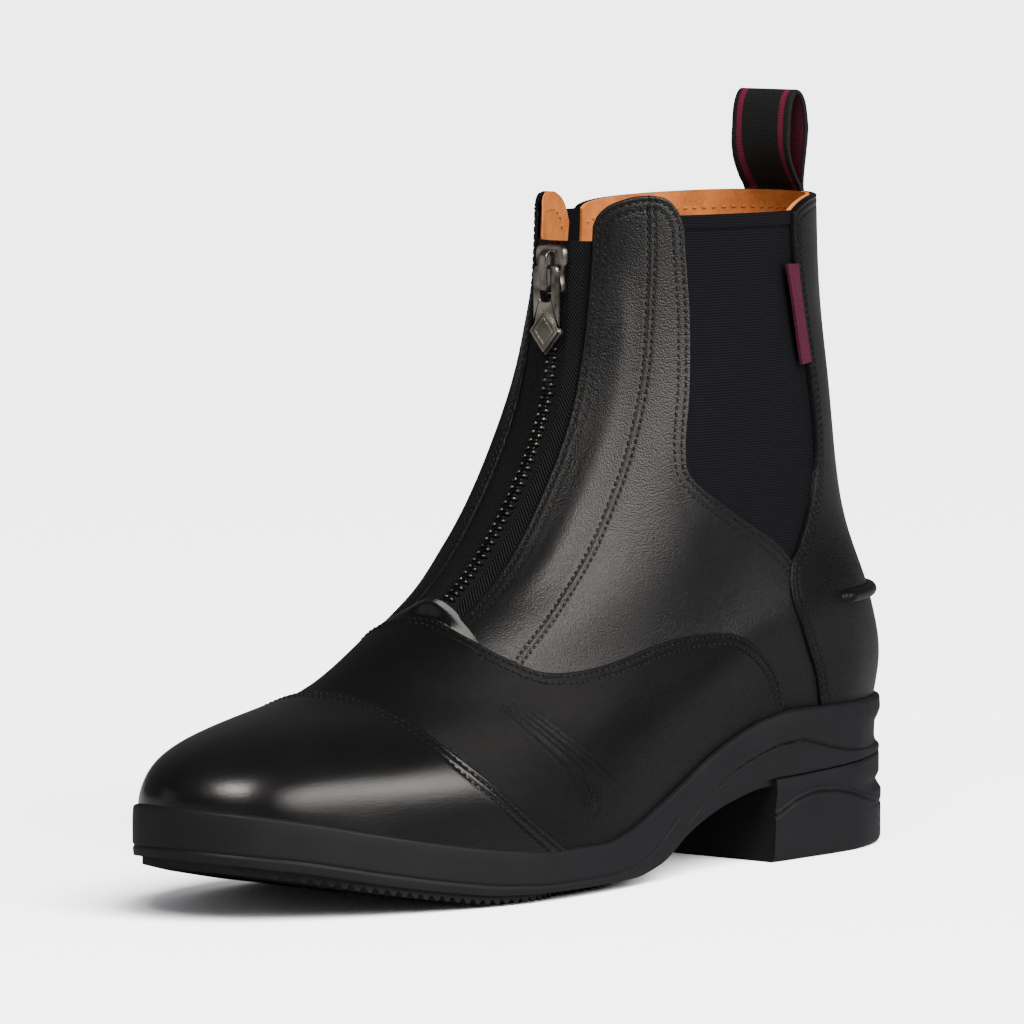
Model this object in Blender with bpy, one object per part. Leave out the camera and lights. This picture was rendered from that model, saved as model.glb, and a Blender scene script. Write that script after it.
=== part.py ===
"""Left jodhpur boot with a front zip, elastic side gores and a moulded rubber bottom.

Toe towards -Y, heel towards +Y, outer side of the foot towards +X, floor at Z = 0.
All sizes below are millimetres; meshes are made in metres.
"""

import math

import bmesh
import bpy
import numpy as np

MM = 0.001

# Driving sizes
WALL = 2.2            # leather and lining of the upper
GAP = 0.3             # clearance where two pieces meet
FEATHER_INSET = 2.4   # the upper stands this far inside the rand
FEATHER_LIFT = 0.5    # and this far above its top, which bends along the foot
INSOLE_THICK = 3.0
HEEL_BREAST_Y = 70.0
HEEL_SEAT_Y = 66.0    # the unit's underside is level from here back
HEEL_TOP = 21.8
OVERLAY = 1.0         # thickness of a lapped leather piece
COLUMNS = 22          # grid steps along each side of the foot
ROWS = 19             # grid steps from the feather line to the collar

# Plan of the rand, rows of x and y from the toe tip along the outer side, round the heel and back
OUTLINE = np.array((
    (-3.0, -141.5), (13.0, -136.8), (25.5, -124.5), (36.5, -100.0), (44.0, -70.0),
    (47.0, -42.0), (45.0, -12.0), (40.0, 20.0), (36.6, 55.0), (35.7, 85.0),
    (33.0, 113.0), (21.5, 135.0), (2.0, 141.5), (-17.5, 135.0), (-29.0, 113.0),
    (-31.7, 85.0), (-31.5, 55.0), (-32.5, 20.0), (-37.5, -12.0), (-44.5, -42.0),
    (-47.0, -68.0), (-43.5, -95.0), (-34.5, -119.0), (-19.5, -136.3),
))

# Heights of the bottom's side lines at stations along the foot
SOLE_COLUMNS = ("y", "rand_top", "groove", "unit_bottom", "tread")
SOLE = np.array((
    (-142.0, 31.5, 20.0, 17.2, 15.0),
    (-120.0, 27.6, 16.6, 13.6, 10.9),
    (-97.0, 22.8, 12.0, 9.0, 6.2),
    (-78.0, 19.1, 8.6, 5.8, 2.9),
    (-57.0, 15.9, 5.8, 3.2, 0.3),
    (-36.0, 13.9, 4.6, 2.5, 0.0),
    (-15.0, 13.8, 4.6, 2.4, 0.0),
    (0.0, 16.6, 6.0, 2.6, 0.6),
    (14.0, 21.5, 9.2, 5.0, 3.0),
    (27.0, 27.0, 14.8, 11.2, 9.0),
    (40.0, 33.0, 22.4, 16.4, 14.0),
    (52.0, 37.4, 28.2, 19.6, 18.0),
    (66.0, 41.2, 32.2, HEEL_TOP, 20.0),
    (80.0, 43.0, 34.0, HEEL_TOP, 20.0),
    (97.0, 43.0, 31.0, HEEL_TOP, 20.0),
    (116.0, 42.9, 29.4, HEEL_TOP, 20.0),
    (142.0, 43.3, 30.0, HEEL_TOP, 20.0),
))

# Side profile of the moulded unit from its underside up: the line that a row hangs on, its height
# over that line, how far it stands out of the rand, and how much more it does at the heel
UNIT_PROFILE = (
    ("unit_bottom", 0.0, -1.6, 0.0),
    ("unit_bottom", 0.9, -0.2, 0.0),
    ("groove", -0.9, 0.1, -1.2),
    ("groove", 0.0, -0.9, -0.5),
    ("groove", 0.8, -0.2, -0.2),
    ("rand_top", -3.0, 0.0, 0.0),
    ("rand_top", -0.7, -0.1, 0.0),
    ("rand_top", 0.0, -0.8, 0.0),
)
HEEL_FADE_Y = (52.0, 80.0)   # the heel's share of the profile grows between these

# Wavy step in the heel's side, rows of y and z
HEEL_STEP = np.array((
    (70.0, 13.2), (81.0, 17.1), (90.0, 18.5), (99.0, 18.0), (110.0, 15.8), (124.0, 12.8),
    (142.0, 11.2),
))

# Side profile of the heel from the floor up: the line a row hangs on, its height over it, how far out
HEEL_PROFILE = (
    ("floor", 0.0, -0.8), ("floor", 0.9, 0.0),
    ("step", -1.0, 0.2), ("step", 0.0, -0.8), ("step", 0.8, -0.2),
    ("top", -1.4, 0.0), ("top", 0.0, -0.9),
)
HEEL_STEPS = 14              # grid steps along each side of the heel

# Insole edge from below, rows of height and of how much further in it stands
INSOLE_EDGE = ((0.0, 0.8), (0.8, 0.0), (INSOLE_THICK - 0.8, 0.6), (INSOLE_THICK, 1.6))
INSOLE_CLEAR = 1.2           # from the wall of the upper

# Last shape: one row for each ring of the upper, from the feather line up to the collar.
# front and back are the ends of the ring on the centre line. outer and inner are its half
# widths. front_round and back_round are the shares of its length taken by its round ends.
# oval goes from 0, the plan of the rand, to 1, an oval. follow goes from 1, bent along the
# feather line, to 0, flat.
RING_COLUMNS = (
    "front_y", "front_z", "back_y", "back_z", "outer", "inner", "front_round", "back_round",
    "oval", "follow",
)
RINGS = np.array((
    (-139.0, 31.8, 139.6, 43.6, 44.0, 44.0, 0.45, 0.19, 0.00, 1.00),   # feather line
    (-138.5, 35.0, 141.0, 52.0, 44.0, 43.0, 0.46, 0.19, 0.10, 0.95),   # side wall
    (-134.8, 40.2, 140.6, 60.0, 43.0, 42.0, 0.46, 0.23, 0.24, 0.85),   # toe round
    (-124.8, 45.4, 138.4, 68.0, 41.0, 39.2, 0.47, 0.26, 0.48, 0.70),   # toe top
    (-105.8, 50.0, 135.6, 77.0, 38.5, 36.5, 0.49, 0.28, 0.76, 0.52),   # cap
    (-80.6, 55.9, 131.8, 86.5, 36.2, 34.6, 0.51, 0.31, 0.92, 0.34),    # ball
    (-55.5, 68.0, 128.0, 97.0, 34.7, 34.2, 0.49, 0.37, 0.93, 0.18),    # vamp
    (-31.0, 81.8, 124.6, 109.0, 33.8, 34.2, 0.48, 0.43, 0.88, 0.08),   # low instep
    (-11.5, 100.3, 121.5, 122.0, 33.3, 33.6, 0.48, 0.45, 0.87, 0.00),  # instep
    (3.2, 121.8, 118.4, 137.0, 32.8, 32.8, 0.48, 0.47, 0.86, 0.00),    # throat
    (10.2, 141.6, 116.1, 152.0, 32.6, 31.3, 0.53, 0.49, 0.93, 0.00),   # ankle
    (12.6, 166.0, 114.4, 170.0, 32.5, 29.6, 0.60, 0.49, 1.00, 0.00),   # shaft
    (13.2, 194.0, 113.7, 194.0, 32.4, 28.8, 0.65, 0.50, 1.00, 0.00),   # above the collar
))

# Centre line of the last in plan, rows of y and x
CENTRE = np.array((
    (-142.0, -3.0), (-90.0, -1.6), (-40.0, 0.0), (20.0, 1.4), (70.0, 2.0), (142.0, 2.0),
))
LEVEL_SHARE = 0.1            # below this height lapped pieces are set off level, to stay on the rand
LEAST_REACH = 4.0            # keeps the feather line off the centre line at the toe and the heel

# Seams and edges in side view, rows of y and z
CAP_SEAM = (
    (-82.0, 72.0), (-78.3, 57.0), (-73.8, 48.4), (-66.6, 39.9), (-54.8, 30.0), (-45.0, 22.3),
    (-33.0, 14.0), (-24.0, 2.0),
)
VAMP_EDGE = (
    (-34.0, 92.0), (-36.3, 78.0), (-39.6, 71.5), (-35.0, 65.3), (-26.0, 61.3), (-13.0, 61.0),
    (1.0, 63.0), (17.0, 66.5), (33.0, 68.0), (48.0, 67.0), (59.0, 61.8), (69.8, 53.6),
    (76.0, 42.0), (80.0, 30.0),
)
PANEL_TOP = (
    (-30.0, 186.0), (14.0, 186.0), (17.7, 187.0), (21.0, 189.5), (29.0, 191.0), (34.0, 190.0),
    (37.2, 186.7), (39.2, 181.7),
)
BACK_TOP = ((80.5, 184.8), (85.0, 186.8), (91.0, 188.2), (98.0, 188.8), (130.0, 189.0))
GORE_FRONT = (
    (39.2, 184.7), (39.7, 159.0), (37.4, 139.0), (33.2, 120.0), (35.4, 111.0), (52.5, 100.6),
    (68.7, 92.6), (76.0, 86.9),
)
GORE_BACK = (
    (81.5, 90.6), (91.8, 104.6), (94.0, 118.0), (90.7, 136.2), (86.9, 150.2), (81.6, 170.0),
    (80.5, 184.8),
)
INNER_GORE_FRONT = (
    (39.2, 184.7), (39.7, 159.0), (37.4, 139.0), (35.6, 124.0), (39.0, 112.0), (46.0, 107.0),
)
INNER_GORE_BACK = ((52.0, 110.0), (53.6, 124.0), (53.8, 139.0), (53.4, 159.0), (53.0, 184.7))
GORE_TOP = 185.2
COUNTER_SEAM = (
    (75.6, 85.4), (73.8, 79.0), (74.6, 72.5), (80.7, 63.2), (88.6, 52.9), (93.0, 43.0),
    (94.0, 30.0),
)
COUNTER_EDGE = (1.2, -0.8)   # the back panel stays behind the gore's edge and under the top line
CAP_EXTRA = 0.3              # the toe cap is stiffer and thicker than the other laps

# Ends of the cutters, clear of the leather on every side
ABOVE = 232.0
BELOW = -5.0
BESIDE = 70.0
LEAST_EDGE = 0.05            # points of an outline closer than this are one point
AHEAD = -160.0
BEHIND = 160.0
ZIP_CUT_Y = (-70.0, 50.0)    # a front-view cutter goes through the front wall only

# Faces of set-in strips, outside and inside, measured out of the leather's face
GORE_FACES = (-0.4, -1.8)
TAPE_FACES = (-0.5, -1.7)
TEETH_FACES = (0.4, -1.9)

# Zip
ZIP_X = 2.2           # centre of the chain
OPENING_X = 0.0       # centre of the opening between the leather edges
ZIP_HALF = 11.4       # half width of that opening
ZIP_FOOT = 78.6
TAPE_TOP = 178.5
TEETH_FOOT = 81.5     # the teeth stop short of the vamp
TEETH_HALF = 1.3
TAPE_CLEAR = 0.35     # between the tape and the teeth
SLIDER_TOP = 177.0
SLIDER_LONG = 13.2
SLIDER_HALF = 5.2
SLIDER_BACK_Y = 12.6
SLIDER_THICK = 2.4
SLIDER_ROUND = 0.6    # round of its edges
SLIDER_NECK = 0.76    # its lower half is this much narrower
BRIDGE_FOOT = 6.6     # the bridge reaches this far below the hinge axis
BRIDGE_HEAD = 4.4     # and this far above it
HINGE_OUT = 0.95      # the hinge axis lies this far in front of the slider's face
BRIDGE_HALF = 1.4
BRIDGE_RISE = 2.9
BRIDGE_BAR = 1.0
PULL_Z = 171.0        # hinge axis of the pull
PULL_THICK = 1.2
PULL_ROUND = 0.3
PULL_BAR_RADIUS = 0.6
PULL_SLOT_HALF = 2.05
PULL_ARM_HALF = 4.6
PULL_SLOT_LONG = 9.8
PULL_NECK_LONG = 16.6
DIAMOND_HALF = 5.7    # the diamond's corners stand out beside the neck
DIAMOND_MIDDLE = 18.0  # its middle hangs this far below the axis
DIAMOND_TALL = 6.7    # from its middle to its tip
PLAQUE_SHARE = 0.9    # the raised face is this much smaller
PLAQUE_RISE = 0.95    # and stands this far in front

# Webbing loop, its centre line in side view
LOOP_WIDE = 21.5
LOOP_THICK = 1.4
LOOP_X = 2.0
LOOP_PATH = (
    (109.9, 186.0), (110.0, 189.5), (111.5, 194.5), (112.0, 205.0), (110.4, 214.6), (107.0, 217.6),
    (104.4, 214.0), (103.8, 205.0), (105.2, 197.6), (107.8, 190.6), (108.2, 186.0),
)
LOOP_BOW = 3.3        # its edges stand this far in front at the foot, as the wall bends
LOOP_BOW_LOW = 190.0
LOOP_BOW_HIGH = 207.0

# Spur rest and side tab
SPUR_Z = 73.6
SPUR_HALF = 2.0
SPUR_FRONT_Y = 97.0
SPUR_RISE = 1.6
TAB = ((75.2, 170.3), (82.4, 170.0), (90.2, 141.6), (83.6, 141.2))
TAB_THICK = 0.8

# Tread ribs
RIB_PITCH = 7.2
RIB_DEEP = 1.0
RIB_SHARES = (0.0, 0.30, 0.42, 0.88)   # groove, groove end, rib, rib end within one pitch
TREAD_LEAST = 0.5            # the plate is never thinner than this
TREAD_INSET = 3.0
TREAD_FRONT_Y = -136.0
TREAD_BACK_Y = 6.0


def clear_scene():
    for thing in list(bpy.data.objects):
        bpy.data.objects.remove(thing, do_unlink=True)


def smooth(table_x, table_y, x, slopes=np.gradient):
    """A cubic through the rows of a table, with slopes from the rows on each side."""
    slope = slopes(table_y, table_x)
    x = np.clip(x, table_x[0], table_x[-1])
    i = np.clip(np.searchsorted(table_x, x) - 1, 0, len(table_x) - 2)
    span = table_x[i + 1] - table_x[i]
    s = (x - table_x[i]) / span
    start = (2 * s**3 - 3 * s**2 + 1) * table_y[i] + (s**3 - 2 * s**2 + s) * span * slope[i]
    end = (3 * s**2 - 2 * s**3) * table_y[i + 1] + (s**3 - s**2) * span * slope[i + 1]
    return start + end


def through(points, steps, closed=False):
    """A Catmull-Rom curve through points, with a number of steps in each span."""
    points = np.asarray(points, float)
    if closed:
        ends = np.concatenate((points[-1:], points, points[:2]))
    else:
        ends = np.concatenate((2 * points[:1] - points[1:2], points, 2 * points[-1:] - points[-2:-1]))
    a, b, c, d = ends[:-3, None], ends[1:-2, None], ends[2:-1, None], ends[3:, None]
    s = (np.arange(steps) / steps)[None, :, None]
    curve = b + 0.5 * s * (c - a + s * (2 * a - 5 * b + 4 * c - d + s * (3 * (b - c) + d - a)))
    curve = curve.reshape(-1, points.shape[1])
    return curve if closed else np.concatenate((curve, points[-1:]))


def steady(table_y, table_x):
    """Slopes for a cubic that never overshoots its rows: level where a row is a crest or a dip."""
    secant = np.diff(table_y) / np.diff(table_x)
    before, after = np.append(secant[:1], secant), np.append(secant, secant[-1:])
    product = before * after
    total = np.where(product > 0, before + after, 1.0)
    return np.where(product > 0, 2 * product / total, 0.0)


def sole_line(name, y):
    return smooth(SOLE[:, 0], SOLE[:, SOLE_COLUMNS.index(name)], y, steady)


def centre_x(y):
    return smooth(CENTRE[:, 0], CENTRE[:, 1], y)


def rand_sides():
    """The outer and inner halves of the rand's plan, each from toe to heel."""
    curve = through(OUTLINE, 24, closed=True)
    curve = np.roll(curve, -int(curve[:, 1].argmin()), axis=0)
    heel = int(curve[:, 1].argmax())
    return curve[: heel + 1], np.concatenate((curve[heel:], curve[:1]))[::-1]


OUTER_SIDE, INNER_SIDE = rand_sides()


def rand_x(y, side):
    curve = OUTER_SIDE if side > 0 else INNER_SIDE
    return np.interp(y, curve[:, 1], curve[:, 0])


def rand_loop(shares):
    """Points and outward directions round the rand.

    shares run from 0 at the toe to 1 at the heel; the loop goes along the outer side and
    back along the inner side, so that column i faces column 2n - i across the foot.
    """
    low, high = OUTER_SIDE[0, 1], OUTER_SIDE[-1, 1]
    y = low + (high - low) * shares
    outer = np.column_stack((rand_x(y, 1), y))
    inner = np.column_stack((rand_x(y, -1), y))[-2:0:-1]
    points = np.concatenate((outer, inner))
    along = np.roll(points, -1, axis=0) - np.roll(points, 1, axis=0)
    out = np.column_stack((along[:, 1], -along[:, 0]))
    return points, out / np.linalg.norm(out, axis=1)[:, None]


def sole_shares():
    """Shares that crowd towards both ends, where the plan turns, with one at the heel seat."""
    even = 0.5 * (1 - np.cos(np.pi * np.arange(COLUMNS + 1) / COLUMNS))
    seat = (HEEL_SEAT_Y - OUTER_SIDE[0, 1]) / (OUTER_SIDE[-1, 1] - OUTER_SIDE[0, 1])
    return np.sort(np.append(even, seat))


def upper_surface(step, side, height):
    """Points of the upper's outside. step and height go from 0 to 1, side is 1 or -1."""
    rows = np.linspace(0, 1, len(RINGS))
    at = dict(zip(RING_COLUMNS, (smooth(rows, column, height) for column in RINGS.T)))
    share = 0.5 * (1 - np.cos(np.pi * step))
    y = at["front_y"] + (at["back_y"] - at["front_y"]) * share
    toe, heel = OUTER_SIDE[0, 1], OUTER_SIDE[-1, 1]
    rand_y = toe + (heel - toe) * share
    reach = rand_x(rand_y, side) - centre_x(rand_y)
    reach = reach * (1 - FEATHER_INSET / np.maximum(np.abs(reach), FEATHER_INSET + LEAST_REACH))
    front = np.sqrt(1 - (1 - np.clip(share / at["front_round"], 0, 1)) ** 2)
    back = np.sqrt(1 - (1 - np.clip((1 - share) / at["back_round"], 0, 1)) ** 2)
    oval = side * (at["outer"] if side > 0 else at["inner"]) * front * back
    x = centre_x(y) + reach * (1 - at["oval"]) + oval * at["oval"]
    first = dict(zip(RING_COLUMNS, RINGS[0]))
    base_y = first["front_y"] + (first["back_y"] - first["front_y"]) * share
    base_chord = first["front_z"] + (first["back_z"] - first["front_z"]) * share
    bend = sole_line("rand_top", base_y) + FEATHER_LIFT - base_chord
    z = at["front_z"] + (at["back_z"] - at["front_z"]) * share + at["follow"] * bend
    return np.stack(np.broadcast_arrays(x, y, z), axis=-1)


def upper_grid():
    """Rings of points of the upper and the directions out of its surface."""
    steps = np.arange(COLUMNS + 1) / COLUMNS
    heights = (np.arange(ROWS + 1) / ROWS)[:, None]
    outer = upper_surface(steps[None], 1, heights)
    inner = upper_surface(steps[None], -1, heights)[:, -2:0:-1]
    points = np.concatenate((outer, inner), axis=1)
    round_foot = np.roll(points, -1, axis=1) - np.roll(points, 1, axis=1)
    up = np.gradient(points, axis=0)
    out = np.cross(round_foot, up)
    level = np.clip(heights / LEVEL_SHARE, 0, 1)[..., None]
    out[..., 2:] *= level
    return points, out / np.linalg.norm(out, axis=-1)[..., None]


UPPER_POINTS, UPPER_OUT = upper_grid()


def material(name, colour, roughness, metallic=0.0):
    made = bpy.data.materials.new(name)
    made.use_nodes = True
    shader = made.node_tree.nodes["Principled BSDF"]
    shader.inputs["Base Color"].default_value = (*colour, 1.0)
    shader.inputs["Roughness"].default_value = roughness
    shader.inputs["Metallic"].default_value = metallic
    return made


def add_object(name, points, faces, finish=None):
    """An object from points in millimetres and faces of point numbers, facing out."""
    mesh = bpy.data.meshes.new(name)
    mesh.from_pydata((np.asarray(points) * MM).tolist(), [], [list(map(int, f)) for f in faces])
    work = bmesh.new()
    work.from_mesh(mesh)
    bmesh.ops.remove_doubles(work, verts=work.verts, dist=1e-6)
    bmesh.ops.recalc_face_normals(work, faces=work.faces)
    work.to_mesh(mesh)
    work.free()
    thing = bpy.data.objects.new(name, mesh)
    bpy.context.scene.collection.objects.link(thing)
    if finish:
        mesh.materials.append(finish)
        mesh.shade_smooth()
        mesh.set_sharp_from_angle(angle=math.radians(35))
    return thing


def loop_faces(rows, columns):
    """Quads between rows of closed loops."""
    i = np.arange(rows - 1)[:, None] * columns
    j = np.arange(columns)[None]
    k = (j + 1) % columns
    quads = np.stack(np.broadcast_arrays(i + j, i + k, i + columns + k, i + columns + j), axis=-1)
    return quads.reshape(-1, 4).tolist()


def cap_faces(start, columns):
    """Strips across a loop whose column i faces column 2n - i, with a point at both ends."""
    half = columns // 2
    faces = []
    for i in range(half):
        corners = (i, i + 1, (columns - i - 1) % columns, (columns - i) % columns)
        faces.append([start + c for c in dict.fromkeys(corners)])
    return faces


def stacked(name, loops, finish):
    """A solid through closed loops from the bottom up, closed across its ends."""
    columns = len(loops[0])
    faces = loop_faces(len(loops), columns) + cap_faces(0, columns)
    faces += cap_faces((len(loops) - 1) * columns, columns)
    return add_object(name, np.concatenate(loops), faces, finish)


def shell(name, outside, inside, finish):
    """A wall between two distances from the upper's surface, open at both ends of the rings."""
    outer = UPPER_POINTS + UPPER_OUT * outside
    inner = UPPER_POINTS + UPPER_OUT * inside
    rows, columns = outer.shape[:2]
    count = rows * columns
    faces = loop_faces(rows, columns)
    faces += [[count + c for c in face] for face in loop_faces(rows, columns)]
    for first in (0, (rows - 1) * columns):
        for i in range(columns):
            j = (i + 1) % columns
            faces.append([first + i, first + j, count + first + j, count + first + i])
    return add_object(name, np.concatenate((outer.reshape(-1, 3), inner.reshape(-1, 3))), faces, finish)


def prism(name, outline, along, low, high):
    """A cutter: an outline carried straight along the X or the Y axis."""
    outline = np.asarray(outline, float)
    count = len(outline)
    ends = []
    for place in (low, high):
        fixed = np.full(count, place)
        first, second = outline.T
        ends.append(np.column_stack((fixed, first, second) if along == "X" else (first, fixed, second)))
    faces = [[i, (i + 1) % count, count + (i + 1) % count, count + i] for i in range(count)]
    faces += [list(range(count)), list(range(count, 2 * count))]
    thing = add_object(name, np.concatenate(ends), faces)
    thing.hide_render = True
    thing.display_type = "WIRE"
    return thing


def cut(thing, cutter, operation):
    modifier = thing.modifiers.new(operation.lower() + "_" + cutter.name, "BOOLEAN")
    modifier.operation = operation
    modifier.object = cutter


def shrunk(outline, by):
    """A closed outline moved inwards by a distance."""
    outline = np.asarray(outline, float)
    along = np.roll(outline, -1, axis=0) - np.roll(outline, 1, axis=0)
    normal = np.column_stack((-along[:, 1], along[:, 0]))
    normal /= np.linalg.norm(normal, axis=1)[:, None]
    following = np.roll(outline, -1, axis=0)
    area = np.sum(outline[:, 0] * following[:, 1] - following[:, 0] * outline[:, 1])
    return outline + normal * by * math.copysign(1, area)


def gore_outline(front, back, top):
    """Side view of a gore: down its front edge, round its foot and up its back edge."""
    curve = through(np.array(front + back), 3)
    return np.concatenate((((front[0][0], top),), curve, ((back[-1][0], top),)))


OUTER_GORE = gore_outline(GORE_FRONT, GORE_BACK, ABOVE)
INNER_GORE = gore_outline(INNER_GORE_FRONT, INNER_GORE_BACK, ABOVE)


def zip_outline(top):
    """Front view of the opening between the front panels, with a tapered foot."""
    taper = ZIP_HALF * 0.6
    half = (
        (0.0, ZIP_FOOT),
        (ZIP_HALF - taper * 0.5, ZIP_FOOT + taper * 0.4),
        (ZIP_HALF, ZIP_FOOT + taper * 1.4),
        (ZIP_HALF, top),
    )
    mirrored = [(-x, z) for x, z in half[:0:-1]]
    return np.array(list(half) + mirrored) + (OPENING_X, 0.0)


def make_midsole(finish):
    """The moulded rubber unit: lip, groove and rand in front, arch, and a stepped heel seat."""
    plan, out = rand_loop(sole_shares())
    y = plan[:, 1]
    start, end = HEEL_FADE_Y
    heel = np.clip((y - start) / (end - start), 0, 1)
    heel = heel * heel * (3 - 2 * heel)
    loops = []
    for line, rise, stands, more in UNIT_PROFILE:
        by = stands + more * heel
        loops.append(np.column_stack((plan + out * by[:, None], sole_line(line, y) + rise)))
    return stacked("midsole", loops, finish)


def make_heel(finish):
    """The heel block, with a straight breast and a wavy step in its side."""
    steps = np.arange(HEEL_STEPS + 1) / HEEL_STEPS
    back = OUTER_SIDE[-1, 1]
    y = HEEL_BREAST_Y + (back - HEEL_BREAST_Y) * np.sin(np.pi / 2 * steps)
    outer = np.column_stack((rand_x(y, 1), y))
    inner = np.column_stack((rand_x(y, -1), y))[-2::-1]
    plan = np.concatenate((outer, inner))
    along = np.gradient(plan, axis=0)
    out = np.column_stack((along[:, 1], -along[:, 0]))
    out /= np.linalg.norm(out, axis=1)[:, None]
    step = smooth(HEEL_STEP[:, 0], HEEL_STEP[:, 1], plan[:, 1])
    lines = {"floor": 0 * step, "step": step, "top": 0 * step + HEEL_TOP - GAP}
    loops = [np.column_stack((plan + out * by, lines[line] + rise)) for line, rise, by in HEEL_PROFILE]
    columns = len(plan)
    faces = loop_faces(len(loops), columns)
    for first in (0, (len(loops) - 1) * columns):
        faces += [
            [first + c for c in dict.fromkeys((i, i + 1, columns - 2 - i, columns - 1 - i))]
            for i in range(columns // 2)
        ]
    return add_object("heel", np.concatenate(loops), faces, finish)


def make_outsole(finish):
    """The forefoot tread plate: straight ribs across, level with the floor under the ball."""
    ribs = int((TREAD_BACK_Y - TREAD_FRONT_Y) / RIB_PITCH)
    pitch = (TREAD_BACK_Y - TREAD_FRONT_Y) / ribs
    y, deep = [], []
    for i in range(ribs):
        start = TREAD_FRONT_Y + i * pitch
        y += [start + share * pitch for share in RIB_SHARES]
        deep += [RIB_DEEP, RIB_DEEP, 0.0, 0.0]
    y, deep = np.array(y + [TREAD_BACK_Y]), np.array(deep + [RIB_DEEP])
    top = sole_line("unit_bottom", y) - GAP
    low = np.minimum(sole_line("tread", y) + deep, top - TREAD_LEAST)
    outer = rand_x(y, 1) - TREAD_INSET
    inner = rand_x(y, -1) + TREAD_INSET
    corners = np.stack((
        np.column_stack((outer, y, low)), np.column_stack((outer, y, top)),
        np.column_stack((inner, y, top)), np.column_stack((inner, y, low)),
    ), axis=1)
    faces = loop_faces(len(y), 4) + [[0, 1, 2, 3], [4 * len(y) - 4 + c for c in range(4)]]
    return add_object("outsole", corners.reshape(-1, 3), faces, finish)


def make_insole(finish):
    """The sock that the foot stands on, a thin plate inside the upper."""
    plan, out = rand_loop(sole_shares())
    inset = FEATHER_INSET + WALL + INSOLE_CLEAR
    loops = []
    for rise, more in INSOLE_EDGE:
        flat = plan - out * (inset + more)
        loops.append(np.column_stack((flat, sole_line("rand_top", flat[:, 1]) + GAP + rise)))
    return stacked("insole", loops, finish)


def make_upper(finish):
    """The lasted leather wall, cut away at the collar, the gores and the zip."""
    upper = shell("upper", 0.0, -WALL, finish)
    ends = ((BEHIND, BACK_TOP[-1][1]), (BEHIND, ABOVE), (PANEL_TOP[0][0], ABOVE))
    top_line = np.concatenate((through(PANEL_TOP, 3), through(BACK_TOP, 3), ends))
    cut(upper, prism("top_line_cutter", top_line, "X", -BESIDE, BESIDE), "DIFFERENCE")
    cut(upper, prism("outer_gore_cutter", OUTER_GORE, "X", ZIP_X, BESIDE), "DIFFERENCE")
    cut(upper, prism("inner_gore_cutter", INNER_GORE, "X", -BESIDE, ZIP_X), "DIFFERENCE")
    cut(upper, prism("zip_cutter", zip_outline(ABOVE), "Y", *ZIP_CUT_Y), "DIFFERENCE")
    return upper


def make_gore(name, outline, low_x, high_x, finish):
    """An elastic panel in the window that its outline cuts in the upper."""
    gore = shell(name, *GORE_FACES, finish)
    edge = shrunk(outline, GAP)
    edge[:, 1] = np.minimum(edge[:, 1], GORE_TOP)
    apart = np.linalg.norm(np.diff(edge, axis=0), axis=1) > LEAST_EDGE
    edge = edge[np.append(True, apart)]
    cut(gore, prism(name + "_cutter", edge, "X", low_x, high_x), "INTERSECT")
    return gore


def make_zip_strip(name, low_x, high_x, faces, foot, top, finish):
    """A strip of the zip, set in the opening between the front panels."""
    strip = shell(name, *faces, finish)
    opening = shrunk(zip_outline(ABOVE), GAP)
    cut(strip, prism(name + "_opening", opening, "Y", *ZIP_CUT_Y), "INTERSECT")
    band = np.array(((low_x, foot), (high_x, foot), (high_x, top), (low_x, top))) + (ZIP_X, 0.0)
    cut(strip, prism(name + "_band", band, "Y", *ZIP_CUT_Y), "INTERSECT")
    return strip


def make_overlay(name, outline, outside, finish, inside=GAP, low_x=-BESIDE):
    """A lapped piece that follows the upper, cut out by its outline in side view."""
    overlay = shell(name, outside, inside, finish)
    cut(overlay, prism(name + "_cutter", outline, "X", low_x, BESIDE), "INTERSECT")
    return overlay


def toe_cap_outline():
    ends = ((CAP_SEAM[-1][0], BELOW), (AHEAD, BELOW), (AHEAD, CAP_SEAM[0][1]))
    return np.concatenate((through(CAP_SEAM, 2), ends))


def vamp_outline():
    seam = through(CAP_SEAM, 2)[::-1] + (GAP, 0.0)
    under_arch = ((60.0, 5.0), (30.0, BELOW))
    over_toe = ((CAP_SEAM[0][0], VAMP_EDGE[0][1]),)
    return np.concatenate((through(VAMP_EDGE, 2), under_arch, seam, over_toe))


def counter_outline():
    behind, under = COUNTER_EDGE
    back = through(GORE_BACK, 3) + (behind, 0.0)
    top = through(BACK_TOP, 3) + (behind, under)
    ends = ((BEHIND, top[-1, 1]), (BEHIND, COUNTER_SEAM[-1][1]))
    return np.concatenate((through(COUNTER_SEAM, 3)[::-1], back[1:-1], top, ends))


def plate(outline, depths):
    """Points and faces of a plate in front view, through rows of depth and of how far its edge draws in."""
    count = len(outline)
    rings = []
    for y, by in depths:
        ring = shrunk(outline, by)
        rings.append(np.column_stack((ring[:, 0], np.full(count, y), ring[:, 1])))
    last = (len(rings) - 1) * count
    faces = loop_faces(len(rings), count) + [list(range(count)), list(range(last, last + count))]
    return np.concatenate(rings), faces


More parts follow.
